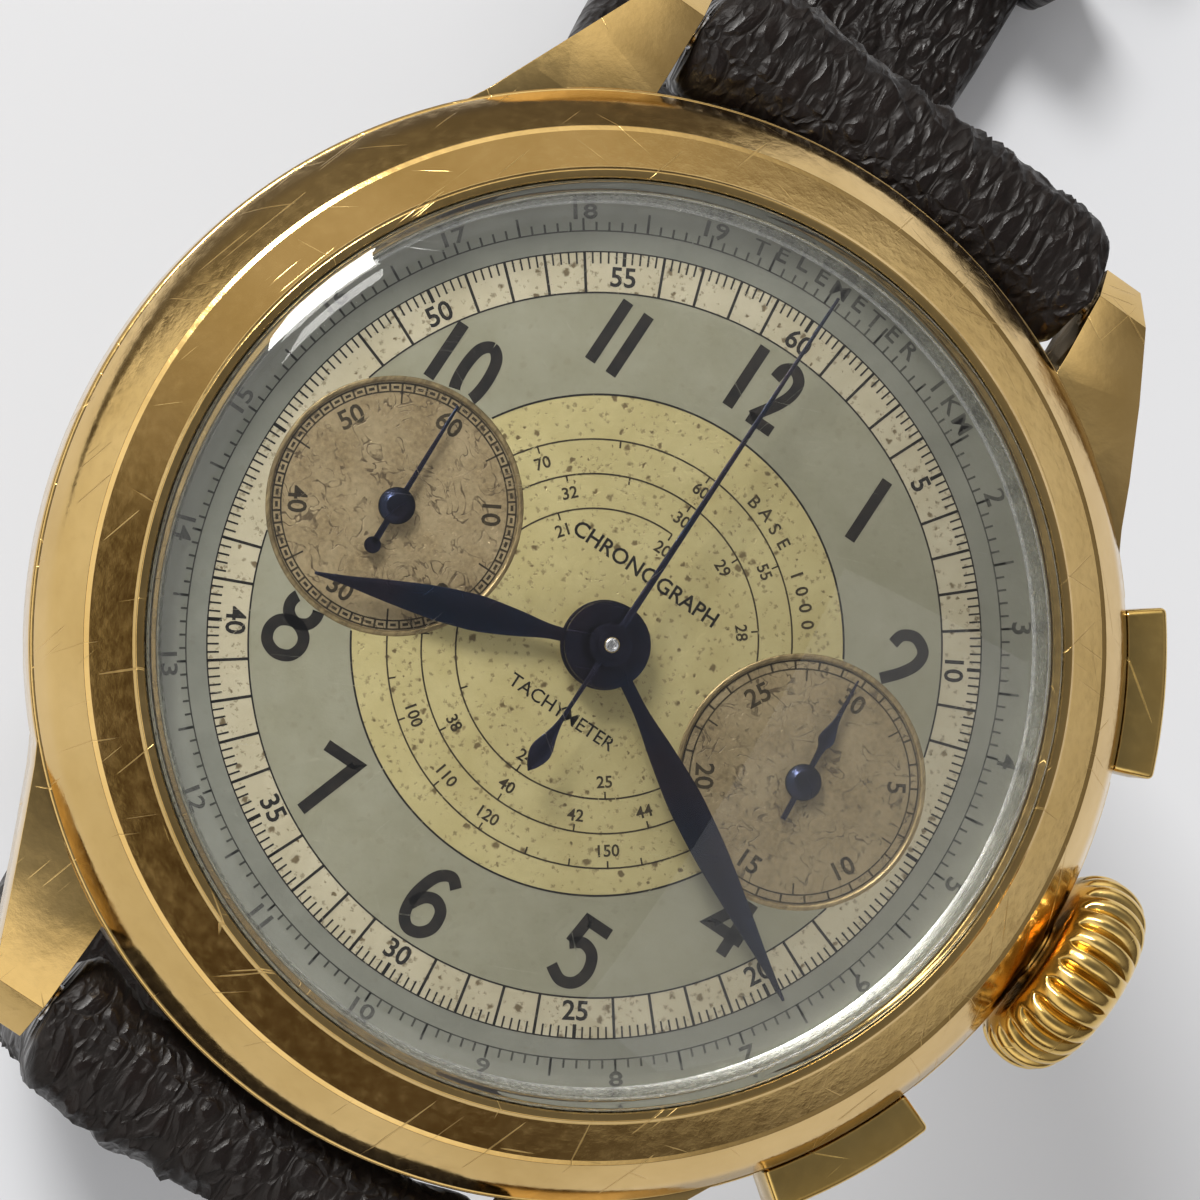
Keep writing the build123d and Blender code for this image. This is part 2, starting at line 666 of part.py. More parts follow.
def bridge(label, low, high, pads, posts, holes):
    """A bridge: a flat hull over its pads, standing on posts that reach the main plate."""
    with BuildPart() as built:
        with BuildSketch(Plane.XY.offset(low)):
            for at, radius in pads + posts:
                with Locations(at):
                    Circle(radius)
            make_hull()
        extrude(amount=high - low)
        for at, radius in posts:
            post(at, high, plate_low, radius)
            post(at, low, low + 1.2, screw_shank, Mode.SUBTRACT)
            screws.append((at, low))
        for at, radius in holes:
            post(at, low, high, radius, Mode.SUBTRACT)
    save(built, label)


bridge("train_bridge", bridge_low, bridge_top,
       [(centre, 1.6), (third_at, 1.3), (escape_at, 1.1), (pallet_at, 0.7), (hammer_at, 1.2)],
       [((-12.4, 2.4), 0.8), ((-9.9, -8.2), 0.8), ((-1.8, -11.8), 0.8)],
       [(centre, centre_tube + running), (third_at, arbor + running), (escape_at, arbor + running),
        (fourth_at, arbor + running), (pallet_at, 0.16 + running), (clutch_at, arbor + running),
        (hammer_at, arbor + running)])
bridge("barrel_bridge", bridge_low, bridge_top,
       [(barrel_at, 2.5), (crown_wheel_at, 0.7), (click_at, 0.8)],
       [((11.3, 6.0), 0.8), ((3.0, 12.3), 0.8)],
       [(barrel_at, arbor_radius + running), (crown_wheel_at, arbor + running),
        (click_at, arbor + running)])
bridge("balance_cock", cock_low, cock_top, [(balance_at, 1.3)], [((-0.7, 12.3), 0.8)],
       [(balance_at, 0.16 + running)])
bridge("chronograph_bridge", chrono_low, chrono_top, [(centre, 1.0), (recorder_at, 1.0)],
       [((12.0, -3.0), 0.6), ((4.2, -5.7), 0.6)],
       [(centre, runner_arbor + running), (recorder_at, arbor + running)])

with BuildPart() as bridge_screws:
    for at, low in screws:
        post(at, low - screw_head_height, low, screw_head)
        post(at, low, low + 1.1, screw_shank - 0.02)
        with BuildSketch(Plane.XY.offset(low - screw_head_height)):
            with Locations(at):
                Rectangle(2 * screw_head, 0.18)
        extrude(amount=0.12, mode=Mode.SUBTRACT)
save(bridge_screws, "bridge_screws")

with BuildPart() as case_screws:
    for angle in (100, 280):
        at = (14.05 * cos(radians(angle)), 14.05 * sin(radians(angle)))
        post(at, plate_low - 0.35, plate_low, 0.6)
        with BuildSketch(Plane.XY.offset(plate_low - 0.35)):
            with Locations(at):
                Rectangle(1.2, 0.16)
        extrude(amount=0.12, mode=Mode.SUBTRACT)
save(case_screws, "case_screws")

# ---- pushers -----------------------------------------------------------------------------------
for name, side in (("upper", pusher_angle), ("lower", -pusher_angle)):
    with BuildPart() as pusher:
        with BuildSketch(Plane.XY.offset(pusher_z - pusher_height / 2)):
            Circle(pusher_outer)
            Circle(pusher_inner, mode=Mode.SUBTRACT)
            with PolarLocations(pusher_outer, 1, start_angle=side):
                Rectangle(8.0, pusher_width, mode=Mode.INTERSECT)
        extrude(amount=pusher_height)
        fillet(pusher.edges().filter_by(Axis.Z).group_by(SortBy.DISTANCE)[-1:][0], 0.25)
        with BuildSketch(Plane.YZ.rotated((0, 0, side)).offset(pusher_stem_end)):
            with Locations((0, pusher_z)):
                Circle(pusher_stem_radius)
        extrude(amount=pusher_inner + 0.2 - pusher_stem_end)
    save(pusher, f"{name}_pusher")
    with BuildPart() as spring:
        spring_top = pusher_inner - 0.06
        for turn in range(spring_rings):
            ring_low = spring_top - spring_wire - 2 * turn * spring_wire
            with BuildSketch(Plane.YZ.rotated((0, 0, side)).offset(ring_low)):
                with Locations((0, pusher_z)):
                    Circle(1.0)
                    Circle(0.75, mode=Mode.SUBTRACT)
            extrude(amount=spring_wire)
            if turn:
                with BuildSketch(Plane.YZ.rotated((0, 0, side)).offset(ring_low + spring_wire)):
                    with Locations((0, pusher_z + 0.87 * (-1) ** turn)):
                        Rectangle(0.2, 0.2)
                extrude(amount=spring_wire)
    save(spring, f"{name}_pusher_spring")

# ---- strap ---------------------------------------------------------------------------------------
with BuildPart() as spring_bars:
    for side in (-1, 1):
        with BuildSketch(Plane.YZ):
            with Locations((side * bar_y, bar_z)):
                Circle(bar_radius)
        extrude(amount=lug_gap / 2 - 0.15, both=True)
        with BuildSketch(Plane.YZ):
            with Locations((side * bar_y, bar_z)):
                Circle(bar_pin_radius)
        extrude(amount=lug_gap / 2 + bar_pin_length, both=True)
save(spring_bars, "spring_bars")


def strap_blank(side, corner, end):
    """Strap half: round head on its bar, a drop to the bend, and a flat run to its end."""
    with BuildSketch(Plane.YZ) as side_view:
        with BuildLine():
            FilletPolyline((side * bar_y, bar_z), (corner, strap_floor), (end, strap_floor),
                           radius=strap_bend)
        trace(line_width=strap_thick)
        with Locations((side * bar_y, bar_z)):
            Circle(strap_head)
        with Locations((end, strap_floor)):
            Circle(strap_thick / 2)
        with Locations((side * bar_y, bar_z)):
            Circle(bar_radius + running, mode=Mode.SUBTRACT)
    extrude(side_view.sketch, amount=strap_width / 2, both=True)


def strap_taper(start, end):
    """Trims the flat run's sides from the full width to the end width."""
    with BuildSketch(Plane.XY.offset(strap_floor - 3)) as trim:
        for side in (-1, 1):
            with BuildLine():
                Polyline((side * strap_width / 2, start), (side * (strap_width / 2 + 3), start),
                         (side * (strap_width / 2 + 3), end), (side * strap_end_width / 2, end),
                         close=True)
            make_face()
    extrude(trim.sketch, amount=6, mode=Mode.SUBTRACT)


with BuildPart() as strap_buckle_half:
    strap_blank(1, buckle_half_corner, buckle_half_end)
    strap_taper(buckle_half_corner + strap_bend, buckle_half_end + 3)
    with BuildSketch(Plane.YZ):
        with Locations((buckle_half_end, strap_floor)):
            Circle(pin_radius + running)
    extrude(amount=strap_width, both=True, mode=Mode.SUBTRACT)
    with BuildSketch(Plane.XY.offset(strap_floor - 3)):
        with Locations((0, buckle_half_end + 1)):
            Rectangle(tongue_width + 0.6, 7.0)
    extrude(amount=6, mode=Mode.SUBTRACT)
save(strap_buckle_half, "strap_buckle_half")

with BuildPart() as strap_hole_half:
    strap_blank(-1, hole_half_corner, hole_half_end)
    strap_taper(hole_half_corner + strap_bend + 3, hole_half_end + 3)
    with BuildSketch(Plane.XY.offset(strap_floor - 3)):
        with Locations((0, hole_half_end - tongue_hole_pitch)):
            with Locations(*[(0, -i * tongue_hole_pitch) for i in range(tongue_holes)]):
                Circle(tongue_hole_radius)
        tip = hole_half_end + strap_thick / 2
        for side in (-1, 1):
            with BuildLine():
                Polyline((side * 10, tip - 8), (side * strap_end_width / 2, tip - 8),
                         (side * 5.5, tip - 2.5), (side * 2.0, tip), (side * 2.0, tip + 2),
                         (side * 10, tip + 2), close=True)
            make_face()
    extrude(amount=6, mode=Mode.SUBTRACT)
save(strap_hole_half, "strap_hole_half")

# ---- buckle and keepers ----------------------------------------------------------------------------
frame_inner = strap_end_width / 2 + 0.35
frame_outer = frame_inner + buckle_arm
with BuildPart() as buckle_frame:
    with BuildSketch(Plane.XY.offset(strap_floor - buckle_height / 2)):
        with Locations((0, buckle_half_end + buckle_reach / 2 - 1.2)):
            RectangleRounded(2 * frame_outer, buckle_reach + 2.4, 1.2)
        with Locations((0, buckle_half_end + (buckle_reach - buckle_arm - 3.0) / 2)):
            Rectangle(2 * frame_inner, buckle_reach - buckle_arm + 3.0, mode=Mode.SUBTRACT)
    extrude(amount=buckle_height)
    with BuildSketch(Plane.YZ):
        with Locations((buckle_half_end, strap_floor)):
            Circle(pin_radius)
    extrude(amount=frame_outer + 1, both=True, mode=Mode.SUBTRACT)
save(buckle_frame, "buckle_frame")

with BuildPart() as buckle_pin:
    with BuildSketch(Plane.YZ):
        with Locations((buckle_half_end, strap_floor)):
            Circle(pin_radius)
    extrude(amount=frame_outer, both=True)
save(buckle_pin, "buckle_pin")

tongue_top = strap_floor + buckle_height / 2 + 0.05
with BuildPart() as buckle_tongue:
    with BuildSketch(Plane.YZ):
        with Locations((buckle_half_end, strap_floor)):
            Circle(pin_radius + running + 0.55)
        with BuildLine():
            Polyline((buckle_half_end, tongue_top - 0.3), (buckle_half_end + 2.0, tongue_top),
                     (buckle_half_end + buckle_reach + 0.2, tongue_top),
                     (buckle_half_end + buckle_reach + 0.2, tongue_top + 0.7),
                     (buckle_half_end, tongue_top + 0.7 - 0.5), close=True)
        make_face()
        with Locations((buckle_half_end, strap_floor)):
            Circle(pin_radius + running, mode=Mode.SUBTRACT)
    extrude(amount=tongue_width / 2, both=True)
save(buckle_tongue, "buckle_tongue")


def keeper(label, at, half_inner):
    low = strap_floor - strap_thick / 2 - free_gap
    with BuildPart() as loop:
        with BuildSketch(Plane.XZ.offset(-(at - keeper_width / 2))):
            with Locations((0, low + keeper_room / 2)):
                RectangleRounded(2 * (half_inner + keeper_wall), keeper_room + 2 * keeper_wall, 1.0)
                RectangleRounded(2 * half_inner, keeper_room, 0.2, mode=Mode.SUBTRACT)
        extrude(amount=-keeper_width)
    save(loop, label)


keeper("fixed_keeper", buckle_half_end - 5.7, strap_width / 2 - 0.2)
keeper("sliding_keeper", buckle_half_end - 13.0, strap_width / 2 + 0.1)
print("built", len(os.listdir("parts")), "nodes")
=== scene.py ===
import json
from math import asin, atan2, ceil, cos, degrees, hypot, pi, radians, sin, sqrt, tan

import bmesh
import bpy
from mathutils import Matrix, Vector, noise


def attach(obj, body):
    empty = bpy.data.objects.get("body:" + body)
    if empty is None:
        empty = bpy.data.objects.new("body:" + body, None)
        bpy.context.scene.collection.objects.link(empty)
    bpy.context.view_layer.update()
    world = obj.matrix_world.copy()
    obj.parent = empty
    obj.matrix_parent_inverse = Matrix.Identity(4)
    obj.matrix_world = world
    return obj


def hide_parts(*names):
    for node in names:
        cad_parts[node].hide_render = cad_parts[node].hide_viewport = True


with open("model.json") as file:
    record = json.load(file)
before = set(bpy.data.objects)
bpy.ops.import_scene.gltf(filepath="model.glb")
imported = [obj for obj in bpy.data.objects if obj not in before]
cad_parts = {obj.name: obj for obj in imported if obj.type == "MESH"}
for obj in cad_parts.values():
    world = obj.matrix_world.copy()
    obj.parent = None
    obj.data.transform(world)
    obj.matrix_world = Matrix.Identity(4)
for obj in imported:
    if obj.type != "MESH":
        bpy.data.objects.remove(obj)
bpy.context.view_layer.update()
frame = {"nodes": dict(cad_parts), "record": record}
mm = 0.001
print("frame loaded:", len(frame["nodes"]), "nodes")

# ---- camera -------------------------------------------------------------------------
cameraSetup = {
    "target": (0.0, 0.0, 7.0),      # dial centre, mm
    "turn": 33.8,                   # how far 12 o'clock leans clockwise from straight up
    "tilt": 10.5,                   # the eye stands to the left of the dial's axis
    "distance": 180.0,
    "shiftRight": 2 / 28, "shiftUp": 45 / 28,
    "lens": 151.2,
}
turn = radians(cameraSetup["turn"])
viewRight = Vector((cos(turn), sin(turn), 0))
viewUp = Vector((-sin(turn), cos(turn), 0))
target = Vector(cameraSetup["target"])
tilt = radians(cameraSetup["tilt"])
eye = target + cameraSetup["distance"] * (cos(tilt) * Vector((0, 0, 1)) - sin(tilt) * viewRight)
aim = target + cameraSetup["shiftRight"] * viewRight + cameraSetup["shiftUp"] * viewUp
cameraData = bpy.data.cameras.new("camera")
cameraData.lens = cameraSetup["lens"]
cameraData.sensor_width = 36
cameraData.clip_start, cameraData.clip_end = 0.01, 20
camera = bpy.data.objects.new("camera", cameraData)
bpy.context.collection.objects.link(camera)
forward = (aim - eye).normalized()
side = forward.cross(viewUp).normalized()
top = side.cross(forward)
camera.matrix_world = Matrix.Translation(eye * mm) @ Matrix((side, top, -forward)).transposed().to_4x4()
bpy.context.scene.camera = camera
print("camera placed")


# ---- node helpers -------------------------------------------------------------------
def addNode(tree, kind, inputs=None, **settings):
    made = tree.nodes.new(kind)
    for key, value in settings.items():
        setattr(made, key, value)
    for key, value in (inputs or {}).items():
        if isinstance(value, bpy.types.NodeSocket):
            tree.links.new(value, made.inputs[key])
        else:
            made.inputs[key].default_value = value
    return made


def mathNode(tree, operation, first, second=0.0, clamp=False):
    return addNode(tree, "ShaderNodeMath", {0: first, 1: second}, operation=operation,
                   use_clamp=clamp).outputs[0]


def mixColour(tree, factor, first, second, blend="MIX"):
    made = addNode(tree, "ShaderNodeMix", {"Factor": factor}, data_type="RGBA", blend_type=blend)
    for index, value in ((6, first), (7, second)):
        if isinstance(value, bpy.types.NodeSocket):
            tree.links.new(value, made.inputs[index])
        else:
            made.inputs[index].default_value = (*value[:3], 1)
    return made.outputs[2]


def spread(tree, value, low, high, newLow=0.0, newHigh=1.0):
    return addNode(tree, "ShaderNodeMapRange", {"Value": value, "From Min": low, "From Max": high,
                                                "To Min": newLow, "To Max": newHigh},
                   interpolation_type="SMOOTHSTEP").outputs[0]


def newGroup(name, inputs, outputs):
    tree = bpy.data.node_groups.new(name, "ShaderNodeTree")
    for label, kind, value in inputs:
        socket = tree.interface.new_socket(label, in_out="INPUT", socket_type=kind)
        if value is not None:
            socket.default_value = value
    for label, kind in outputs:
        tree.interface.new_socket(label, in_out="OUTPUT", socket_type=kind)
    return tree, tree.nodes.new("NodeGroupInput").outputs, tree.nodes.new("NodeGroupOutput").inputs


floatKind, vectorKind = "NodeSocketFloat", "NodeSocketVector"



def makeScratchGroup():
    tree, given, result = newGroup(
        "fine scratches", [("Vector", vectorKind, None), ("Scale", floatKind, 9000.0),
                           ("Cover", floatKind, 0.5)], [("Mask", floatKind)])
    edge = mathNode(tree, "SUBTRACT", 0.80, mathNode(tree, "MULTIPLY", given["Cover"], 0.16))
    total = 0.0
    for angle, shift in ((18, 0.0), (71, 0.31), (127, 0.77)):
        spun = addNode(tree, "ShaderNodeVectorRotate",
                       {"Vector": given["Vector"], "Axis": (0.3, 0.2, 1.0), "Angle": radians(angle)},
                       rotation_type="AXIS_ANGLE").outputs[0]
        long = addNode(tree, "ShaderNodeMapping", {"Vector": spun, "Location": (shift,) * 3,
                                                   "Scale": (1.0, 0.022, 0.022)}).outputs[0]
        streak = addNode(tree, "ShaderNodeTexNoise",
                         {"Vector": long, "Scale": given["Scale"], "Detail": 1.0}).outputs[0]
        line = spread(tree, streak, edge, mathNode(tree, "ADD", edge, 0.03))
        total = mathNode(tree, "ADD", line, total, clamp=True)
    tree.links.new(total, result["Mask"])
    return tree


def makeMottleGroup():
    tree, given, result = newGroup(
        "soft mottling", [("Vector", vectorKind, None), ("Scale", floatKind, 300.0),
                          ("Contrast", floatKind, 1.0)], [("Value", floatKind)])
    cloud = addNode(tree, "ShaderNodeTexNoise", {"Vector": given["Vector"], "Scale": given["Scale"],
                                                 "Detail": 5.0, "Roughness": 0.6}).outputs[0]
    centred = mathNode(tree, "MULTIPLY", mathNode(tree, "SUBTRACT", cloud, 0.5), given["Contrast"])
    tree.links.new(mathNode(tree, "ADD", centred, 0.5, clamp=True), result["Value"])
    return tree


def makeSpeckGroup():
    tree, given, result = newGroup(
        "specks", [("Vector", vectorKind, None), ("Scale", floatKind, 2000.0),
                   ("Cover", floatKind, 0.2), ("Size", floatKind, 0.3)], [("Mask", floatKind)])
    warp = addNode(tree, "ShaderNodeTexNoise", {"Vector": given["Vector"], "Detail": 1.0,
                                                "Scale": mathNode(tree, "MULTIPLY", given["Scale"], 2.5)})
    bent = addNode(tree, "ShaderNodeVectorMath",
                   {0: addNode(tree, "ShaderNodeVectorMath", {0: warp.outputs["Color"], 1: (0.00022,) * 3},
                               operation="MULTIPLY").outputs[0], 1: given["Vector"]},
                   operation="ADD").outputs[0]
    cells = addNode(tree, "ShaderNodeTexVoronoi", {"Vector": bent, "Scale": given["Scale"]})
    chance = addNode(tree, "ShaderNodeSeparateColor", {0: cells.outputs["Color"]})
    present = mathNode(tree, "LESS_THAN", chance.outputs[0], given["Cover"])
    reach = mathNode(tree, "MULTIPLY", given["Size"], mathNode(tree, "ADD", chance.outputs[1], 0.25))
    near = addNode(tree, "ShaderNodeMapRange", {"Value": cells.outputs["Distance"], "From Min": reach,
                                                "From Max": mathNode(tree, "MULTIPLY", reach, 0.55)})
    tree.links.new(mathNode(tree, "MULTIPLY", present, near.outputs[0]), result["Mask"])
    return tree


def makeLeatherGroup():
    tree, given, result = newGroup(
        "shrunken grain", [("Vector", vectorKind, None), ("Scale", floatKind, 1400.0),
                           ("Stretch", floatKind, 0.5)],
        [("Height", floatKind), ("Creases", floatKind)])
    run = addNode(tree, "ShaderNodeCombineXYZ", {0: 1.0, 1: given["Stretch"], 2: 1.0}).outputs[0]
    flow = addNode(tree, "ShaderNodeVectorMath", {0: given["Vector"], 1: run}, operation="MULTIPLY").outputs[0]
    warp = addNode(tree, "ShaderNodeTexNoise",
                   {"Vector": flow, "Scale": mathNode(tree, "MULTIPLY", given["Scale"], 0.6), "Detail": 2.0})
    push = addNode(tree, "ShaderNodeVectorMath", {0: warp.outputs["Color"], 1: (0.0009,) * 3},
                   operation="MULTIPLY").outputs[0]
    bent = addNode(tree, "ShaderNodeVectorMath", {0: flow, 1: push}, operation="ADD").outputs[0]
    cells = addNode(tree, "ShaderNodeTexVoronoi", {"Vector": bent, "Scale": given["Scale"]},
                    feature="DISTANCE_TO_EDGE").outputs["Distance"]
    pebble = spread(tree, cells, 0.0, 0.32)
    fine = addNode(tree, "ShaderNodeTexNoise",
                   {"Vector": bent, "Scale": mathNode(tree, "MULTIPLY", given["Scale"], 5.0),
                    "Detail": 3.0}).outputs[0]
    height = mathNode(tree, "ADD", pebble, mathNode(tree, "MULTIPLY", fine, 0.35))
    tree.links.new(height, result["Height"])
    tree.links.new(mathNode(tree, "SUBTRACT", 1.0, spread(tree, cells, 0.0, 0.14)), result["Creases"])
    return tree


scratchGroup, mottleGroup = makeScratchGroup(), makeMottleGroup()
speckGroup, leatherGroup = makeSpeckGroup(), makeLeatherGroup()


def useGroup(tree, group, **values):
    made = tree.nodes.new("ShaderNodeGroup")
    made.node_tree = group
    for key, value in values.items():
        if isinstance(value, bpy.types.NodeSocket):
            tree.links.new(value, made.inputs[key])
        else:
            made.inputs[key].default_value = value
    return made.outputs


def objectPoint(tree):
    return addNode(tree, "ShaderNodeTexCoord").outputs["Object"]


def newMaterial(name, **values):
    material = bpy.data.materials.new(name)
    material.use_nodes = True
    tree = material.node_tree
    shader = tree.nodes["Principled BSDF"]
    for key, value in values.items():
        socket = shader.inputs[key.replace("_", " ")]
        socket.default_value = (*value, 1) if isinstance(value, tuple) else value
    return material, tree, shader


def bumpOf(tree, shader, height, strength, distance):
    made = addNode(tree, "ShaderNodeBump", {"Height": height, "Strength": strength, "Distance": distance})
    tree.links.new(made.outputs[0], shader.inputs["Normal"])


# ---- finishes -----------------------------------------------------------------------
def polishedGold(name, light, deep, cover, rough=0.07):
    material, tree, shader = newMaterial(name, Metallic=1.0)
    point = objectPoint(tree)
    cloud = useGroup(tree, mottleGroup, Vector=point, Scale=180.0, Contrast=2.0)["Value"]
    lines = useGroup(tree, scratchGroup, Vector=point, Scale=7000.0, Cover=cover)["Mask"]
    haze = useGroup(tree, mottleGroup, Vector=point, Scale=1900.0, Contrast=2.6)["Value"]
    tree.links.new(mixColour(tree, cloud, deep, light), shader.inputs["Base Color"])
    worn = mathNode(tree, "ADD", mathNode(tree, "MULTIPLY", haze, 0.15),
                    mathNode(tree, "MULTIPLY", lines, 0.22))
    tree.links.new(mathNode(tree, "ADD", worn, rough), shader.inputs["Roughness"])
    uneven = mathNode(tree, "ADD", mathNode(tree, "MULTIPLY", lines, -0.5),
                      mathNode(tree, "MULTIPLY", haze, 0.3))
    bumpOf(tree, shader, uneven, 0.35, 0.00004)
    return material


caseGold = polishedGold("case gold", (0.80, 0.56, 0.23), (0.62, 0.41, 0.14), 0.42)
crownGold = polishedGold("crown gold", (0.84, 0.60, 0.22), (0.66, 0.43, 0.12), 0.3, 0.10)
buckleGold = polishedGold("buckle gold", (0.80, 0.58, 0.26), (0.66, 0.45, 0.17), 0.4)


def clearAcrylic():
    material, tree, shader = newMaterial("clear acrylic", Base_Color=(0.975, 0.985, 0.98), IOR=1.49,
                                         Transmission_Weight=1.0)
    point = objectPoint(tree)
    lines = useGroup(tree, scratchGroup, Vector=point, Scale=11000.0, Cover=0.25)["Mask"]
    tree.links.new(mathNode(tree, "MULTIPLY", lines, 0.22), shader.inputs["Roughness"])
    path = addNode(tree, "ShaderNodeLightPath")
    through = addNode(tree, "ShaderNodeBsdfTransparent", {"Color": (0.96, 0.96, 0.95, 1)})
    hidden = mathNode(tree, "MAXIMUM", path.outputs["Is Shadow Ray"], path.outputs["Is Diffuse Ray"])
    mixed = addNode(tree, "ShaderNodeMixShader", {0: hidden, 1: shader.outputs[0], 2: through.outputs[0]})
    tree.links.new(mixed.outputs[0], tree.nodes["Material Output"].inputs["Surface"])
    return material


acrylic = clearAcrylic()

dialSetup = {
    "goldEdge": 8.89, "trackInner": 12.51, "trackOuter": 13.96, "farLine": 14.70,
    "registerAt": 8.8, "registerRadius": 4.45, "top": 7.0, "registerTop": 6.88, "outer": 16.05,
    "print": 0.012,
}


def dialFinish():
    material, tree, shader = newMaterial("silvered dial", Metallic=0.35)
    point = objectPoint(tree)
    axes = addNode(tree, "ShaderNodeSeparateXYZ", {0: point}).outputs
    flat = addNode(tree, "ShaderNodeCombineXYZ", {0: axes[0], 1: axes[1]}).outputs[0]
    radius = addNode(tree, "ShaderNodeVectorMath", {0: flat}, operation="LENGTH").outputs["Value"]
    away = mathNode(tree, "SUBTRACT", mathNode(tree, "ABSOLUTE", axes[0]), dialSetup["registerAt"] * mm)
    beside = addNode(tree, "ShaderNodeCombineXYZ", {0: away, 1: axes[1]}).outputs[0]
    fromRegister = addNode(tree, "ShaderNodeVectorMath", {0: beside}, operation="LENGTH").outputs["Value"]
    inRegister = mathNode(tree, "LESS_THAN", fromRegister, dialSetup["registerRadius"] * mm)
    inGold = mathNode(tree, "LESS_THAN", radius, dialSetup["goldEdge"] * mm)
    pastInner = mathNode(tree, "GREATER_THAN", radius, dialSetup["trackInner"] * mm)
    pastTrack = mathNode(tree, "GREATER_THAN", radius, dialSetup["trackOuter"] * mm)
    cloud = useGroup(tree, mottleGroup, Vector=point, Scale=420.0, Contrast=1.8)["Value"]
    fine = useGroup(tree, mottleGroup, Vector=point, Scale=6500.0, Contrast=1.6)["Value"]
    silver = mixColour(tree, cloud, (0.29, 0.28, 0.19), (0.37, 0.36, 0.27))
    track = mixColour(tree, cloud, (0.50, 0.44, 0.29), (0.66, 0.60, 0.44))
    outside = mixColour(tree, cloud, (0.20, 0.205, 0.17), (0.28, 0.285, 0.24))
    middle = mixColour(tree, cloud, (0.48, 0.40, 0.17), (0.62, 0.54, 0.27))
    patch = useGroup(tree, mottleGroup, Vector=point, Scale=700.0, Contrast=3.2)["Value"]
    copper = mixColour(tree, fine, (0.15, 0.105, 0.048), (0.40, 0.30, 0.155))
    copper = mixColour(tree, mathNode(tree, "MULTIPLY", patch, 0.55), copper, (0.46, 0.37, 0.22))
    colour = mixColour(tree, pastInner, silver, track)
    colour = mixColour(tree, pastTrack, colour, outside)
    colour = mixColour(tree, inGold, colour, middle)
    ageingAndPaintedShade = mathNode(tree, "ADD", inGold, mathNode(tree, "SUBTRACT", pastInner, pastTrack), clamp=True)
    spots = useGroup(tree, speckGroup, Vector=point, Scale=2300.0, Cover=0.46, Size=0.32)["Mask"]
    dust = useGroup(tree, speckGroup, Vector=point, Scale=5200.0, Cover=0.50, Size=0.46)["Mask"]
    pits = mathNode(tree, "MAXIMUM", spots, mathNode(tree, "MULTIPLY", dust, 0.6))
    pits = mathNode(tree, "MULTIPLY", pits, mathNode(tree, "ADD", mathNode(tree, "MULTIPLY", ageingAndPaintedShade, 0.80), 0.12))
    colour = mixColour(tree, pits, colour, (0.13, 0.085, 0.03))
    swirl = addNode(tree, "ShaderNodeTexNoise", {"Vector": point, "Scale": 1150.0, "Detail": 2.0,
                                                 "Distortion": 1.2}).outputs[0]
    curl = mathNode(tree, "ABSOLUTE", mathNode(tree, "SUBTRACT", swirl, 0.5))
    broken = useGroup(tree, mottleGroup, Vector=point, Scale=1700.0, Contrast=6.0)["Value"]
    scrape = mathNode(tree, "MULTIPLY", spread(tree, curl, 0.034, 0.012), broken)
    worn = mixColour(tree, mathNode(tree, "MULTIPLY", scrape, 0.9), copper, (0.085, 0.055, 0.025))
    colour = mixColour(tree, inRegister, colour, worn)
    # painted shade: the base colour darkens towards the lower right of the view, standing in for light falling off
    # across the dial
    across = addNode(tree, "ShaderNodeVectorMath", {0: point, 1: tuple(0.85 * viewRight - 0.52 * viewUp)},
                     operation="DOT_PRODUCT").outputs["Value"]
    ageingAndPaintedShade = spread(tree, across, -0.010, 0.016, 0.0, 0.46)
    colour = mixColour(tree, ageingAndPaintedShade, colour, (0.055, 0.048, 0.028))
    tree.links.new(colour, shader.inputs["Base Color"])
    tree.links.new(spread(tree, fine, 0.0, 1.0, 0.34, 0.52), shader.inputs["Roughness"])
    dents = mathNode(tree, "ADD", mathNode(tree, "MULTIPLY", fine, 0.5),
                     mathNode(tree, "MULTIPLY", mathNode(tree, "MULTIPLY", scrape, inRegister), -0.8))
    bumpOf(tree, shader, mathNode(tree, "SUBTRACT", dents, pits), 0.5, 0.00002)
    return material


def inkFinish(name, dark, pale, rough):
    material, tree, shader = newMaterial(name, Specular_IOR_Level=0.2)
    point = objectPoint(tree)
    faded = useGroup(tree, mottleGroup, Vector=point, Scale=2400.0, Contrast=2.6)["Value"]
    tree.links.new(mixColour(tree, faded, dark, pale), shader.inputs["Base Color"])
    tree.links.new(spread(tree, faded, 0.0, 1.0, rough, rough + 0.2), shader.inputs["Roughness"])
    return material


def bluedFinish():
    material, tree, shader = newMaterial("blued steel", Metallic=1.0)
    point = objectPoint(tree)
    tint = useGroup(tree, mottleGroup, Vector=point, Scale=330.0, Contrast=2.4)["Value"]
    lines = useGroup(tree, scratchGroup, Vector=point, Scale=14000.0, Cover=0.3)["Mask"]
    tree.links.new(mixColour(tree, tint, (0.034, 0.024, 0.036), (0.012, 0.024, 0.050)),
                   shader.inputs["Base Color"])
    tree.links.new(mathNode(tree, "ADD", mathNode(tree, "MULTIPLY", lines, 0.2), 0.26),
                   shader.inputs["Roughness"])
    return material


def leatherFinish(name, dark, light, scale, depth, sheen):
    material, tree, shader = newMaterial(name, Specular_IOR_Level=0.32, Sheen_Weight=sheen)
    along = addNode(tree, "ShaderNodeUVMap", uv_map="strapFlow").outputs[0]
    grain = useGroup(tree, leatherGroup, Vector=along, Scale=scale, Stretch=0.45)
    cloud = useGroup(tree, mottleGroup, Vector=along, Scale=500.0, Contrast=1.6)["Value"]
    base = mixColour(tree, cloud, dark, light)
    # painted shade: the creases of the grain are darkened in colour, besides their bump
    base = mixColour(tree, mathNode(tree, "MULTIPLY", grain["Creases"], 0.6), base, (0.006, 0.004, 0.003))
    tree.links.new(base, shader.inputs["Base Color"])
    tree.links.new(spread(tree, grain["Height"], 0.2, 1.3, 0.50, 0.27), shader.inputs["Roughness"])
    bumpOf(tree, shader, grain["Height"], 0.75, depth)
    return material


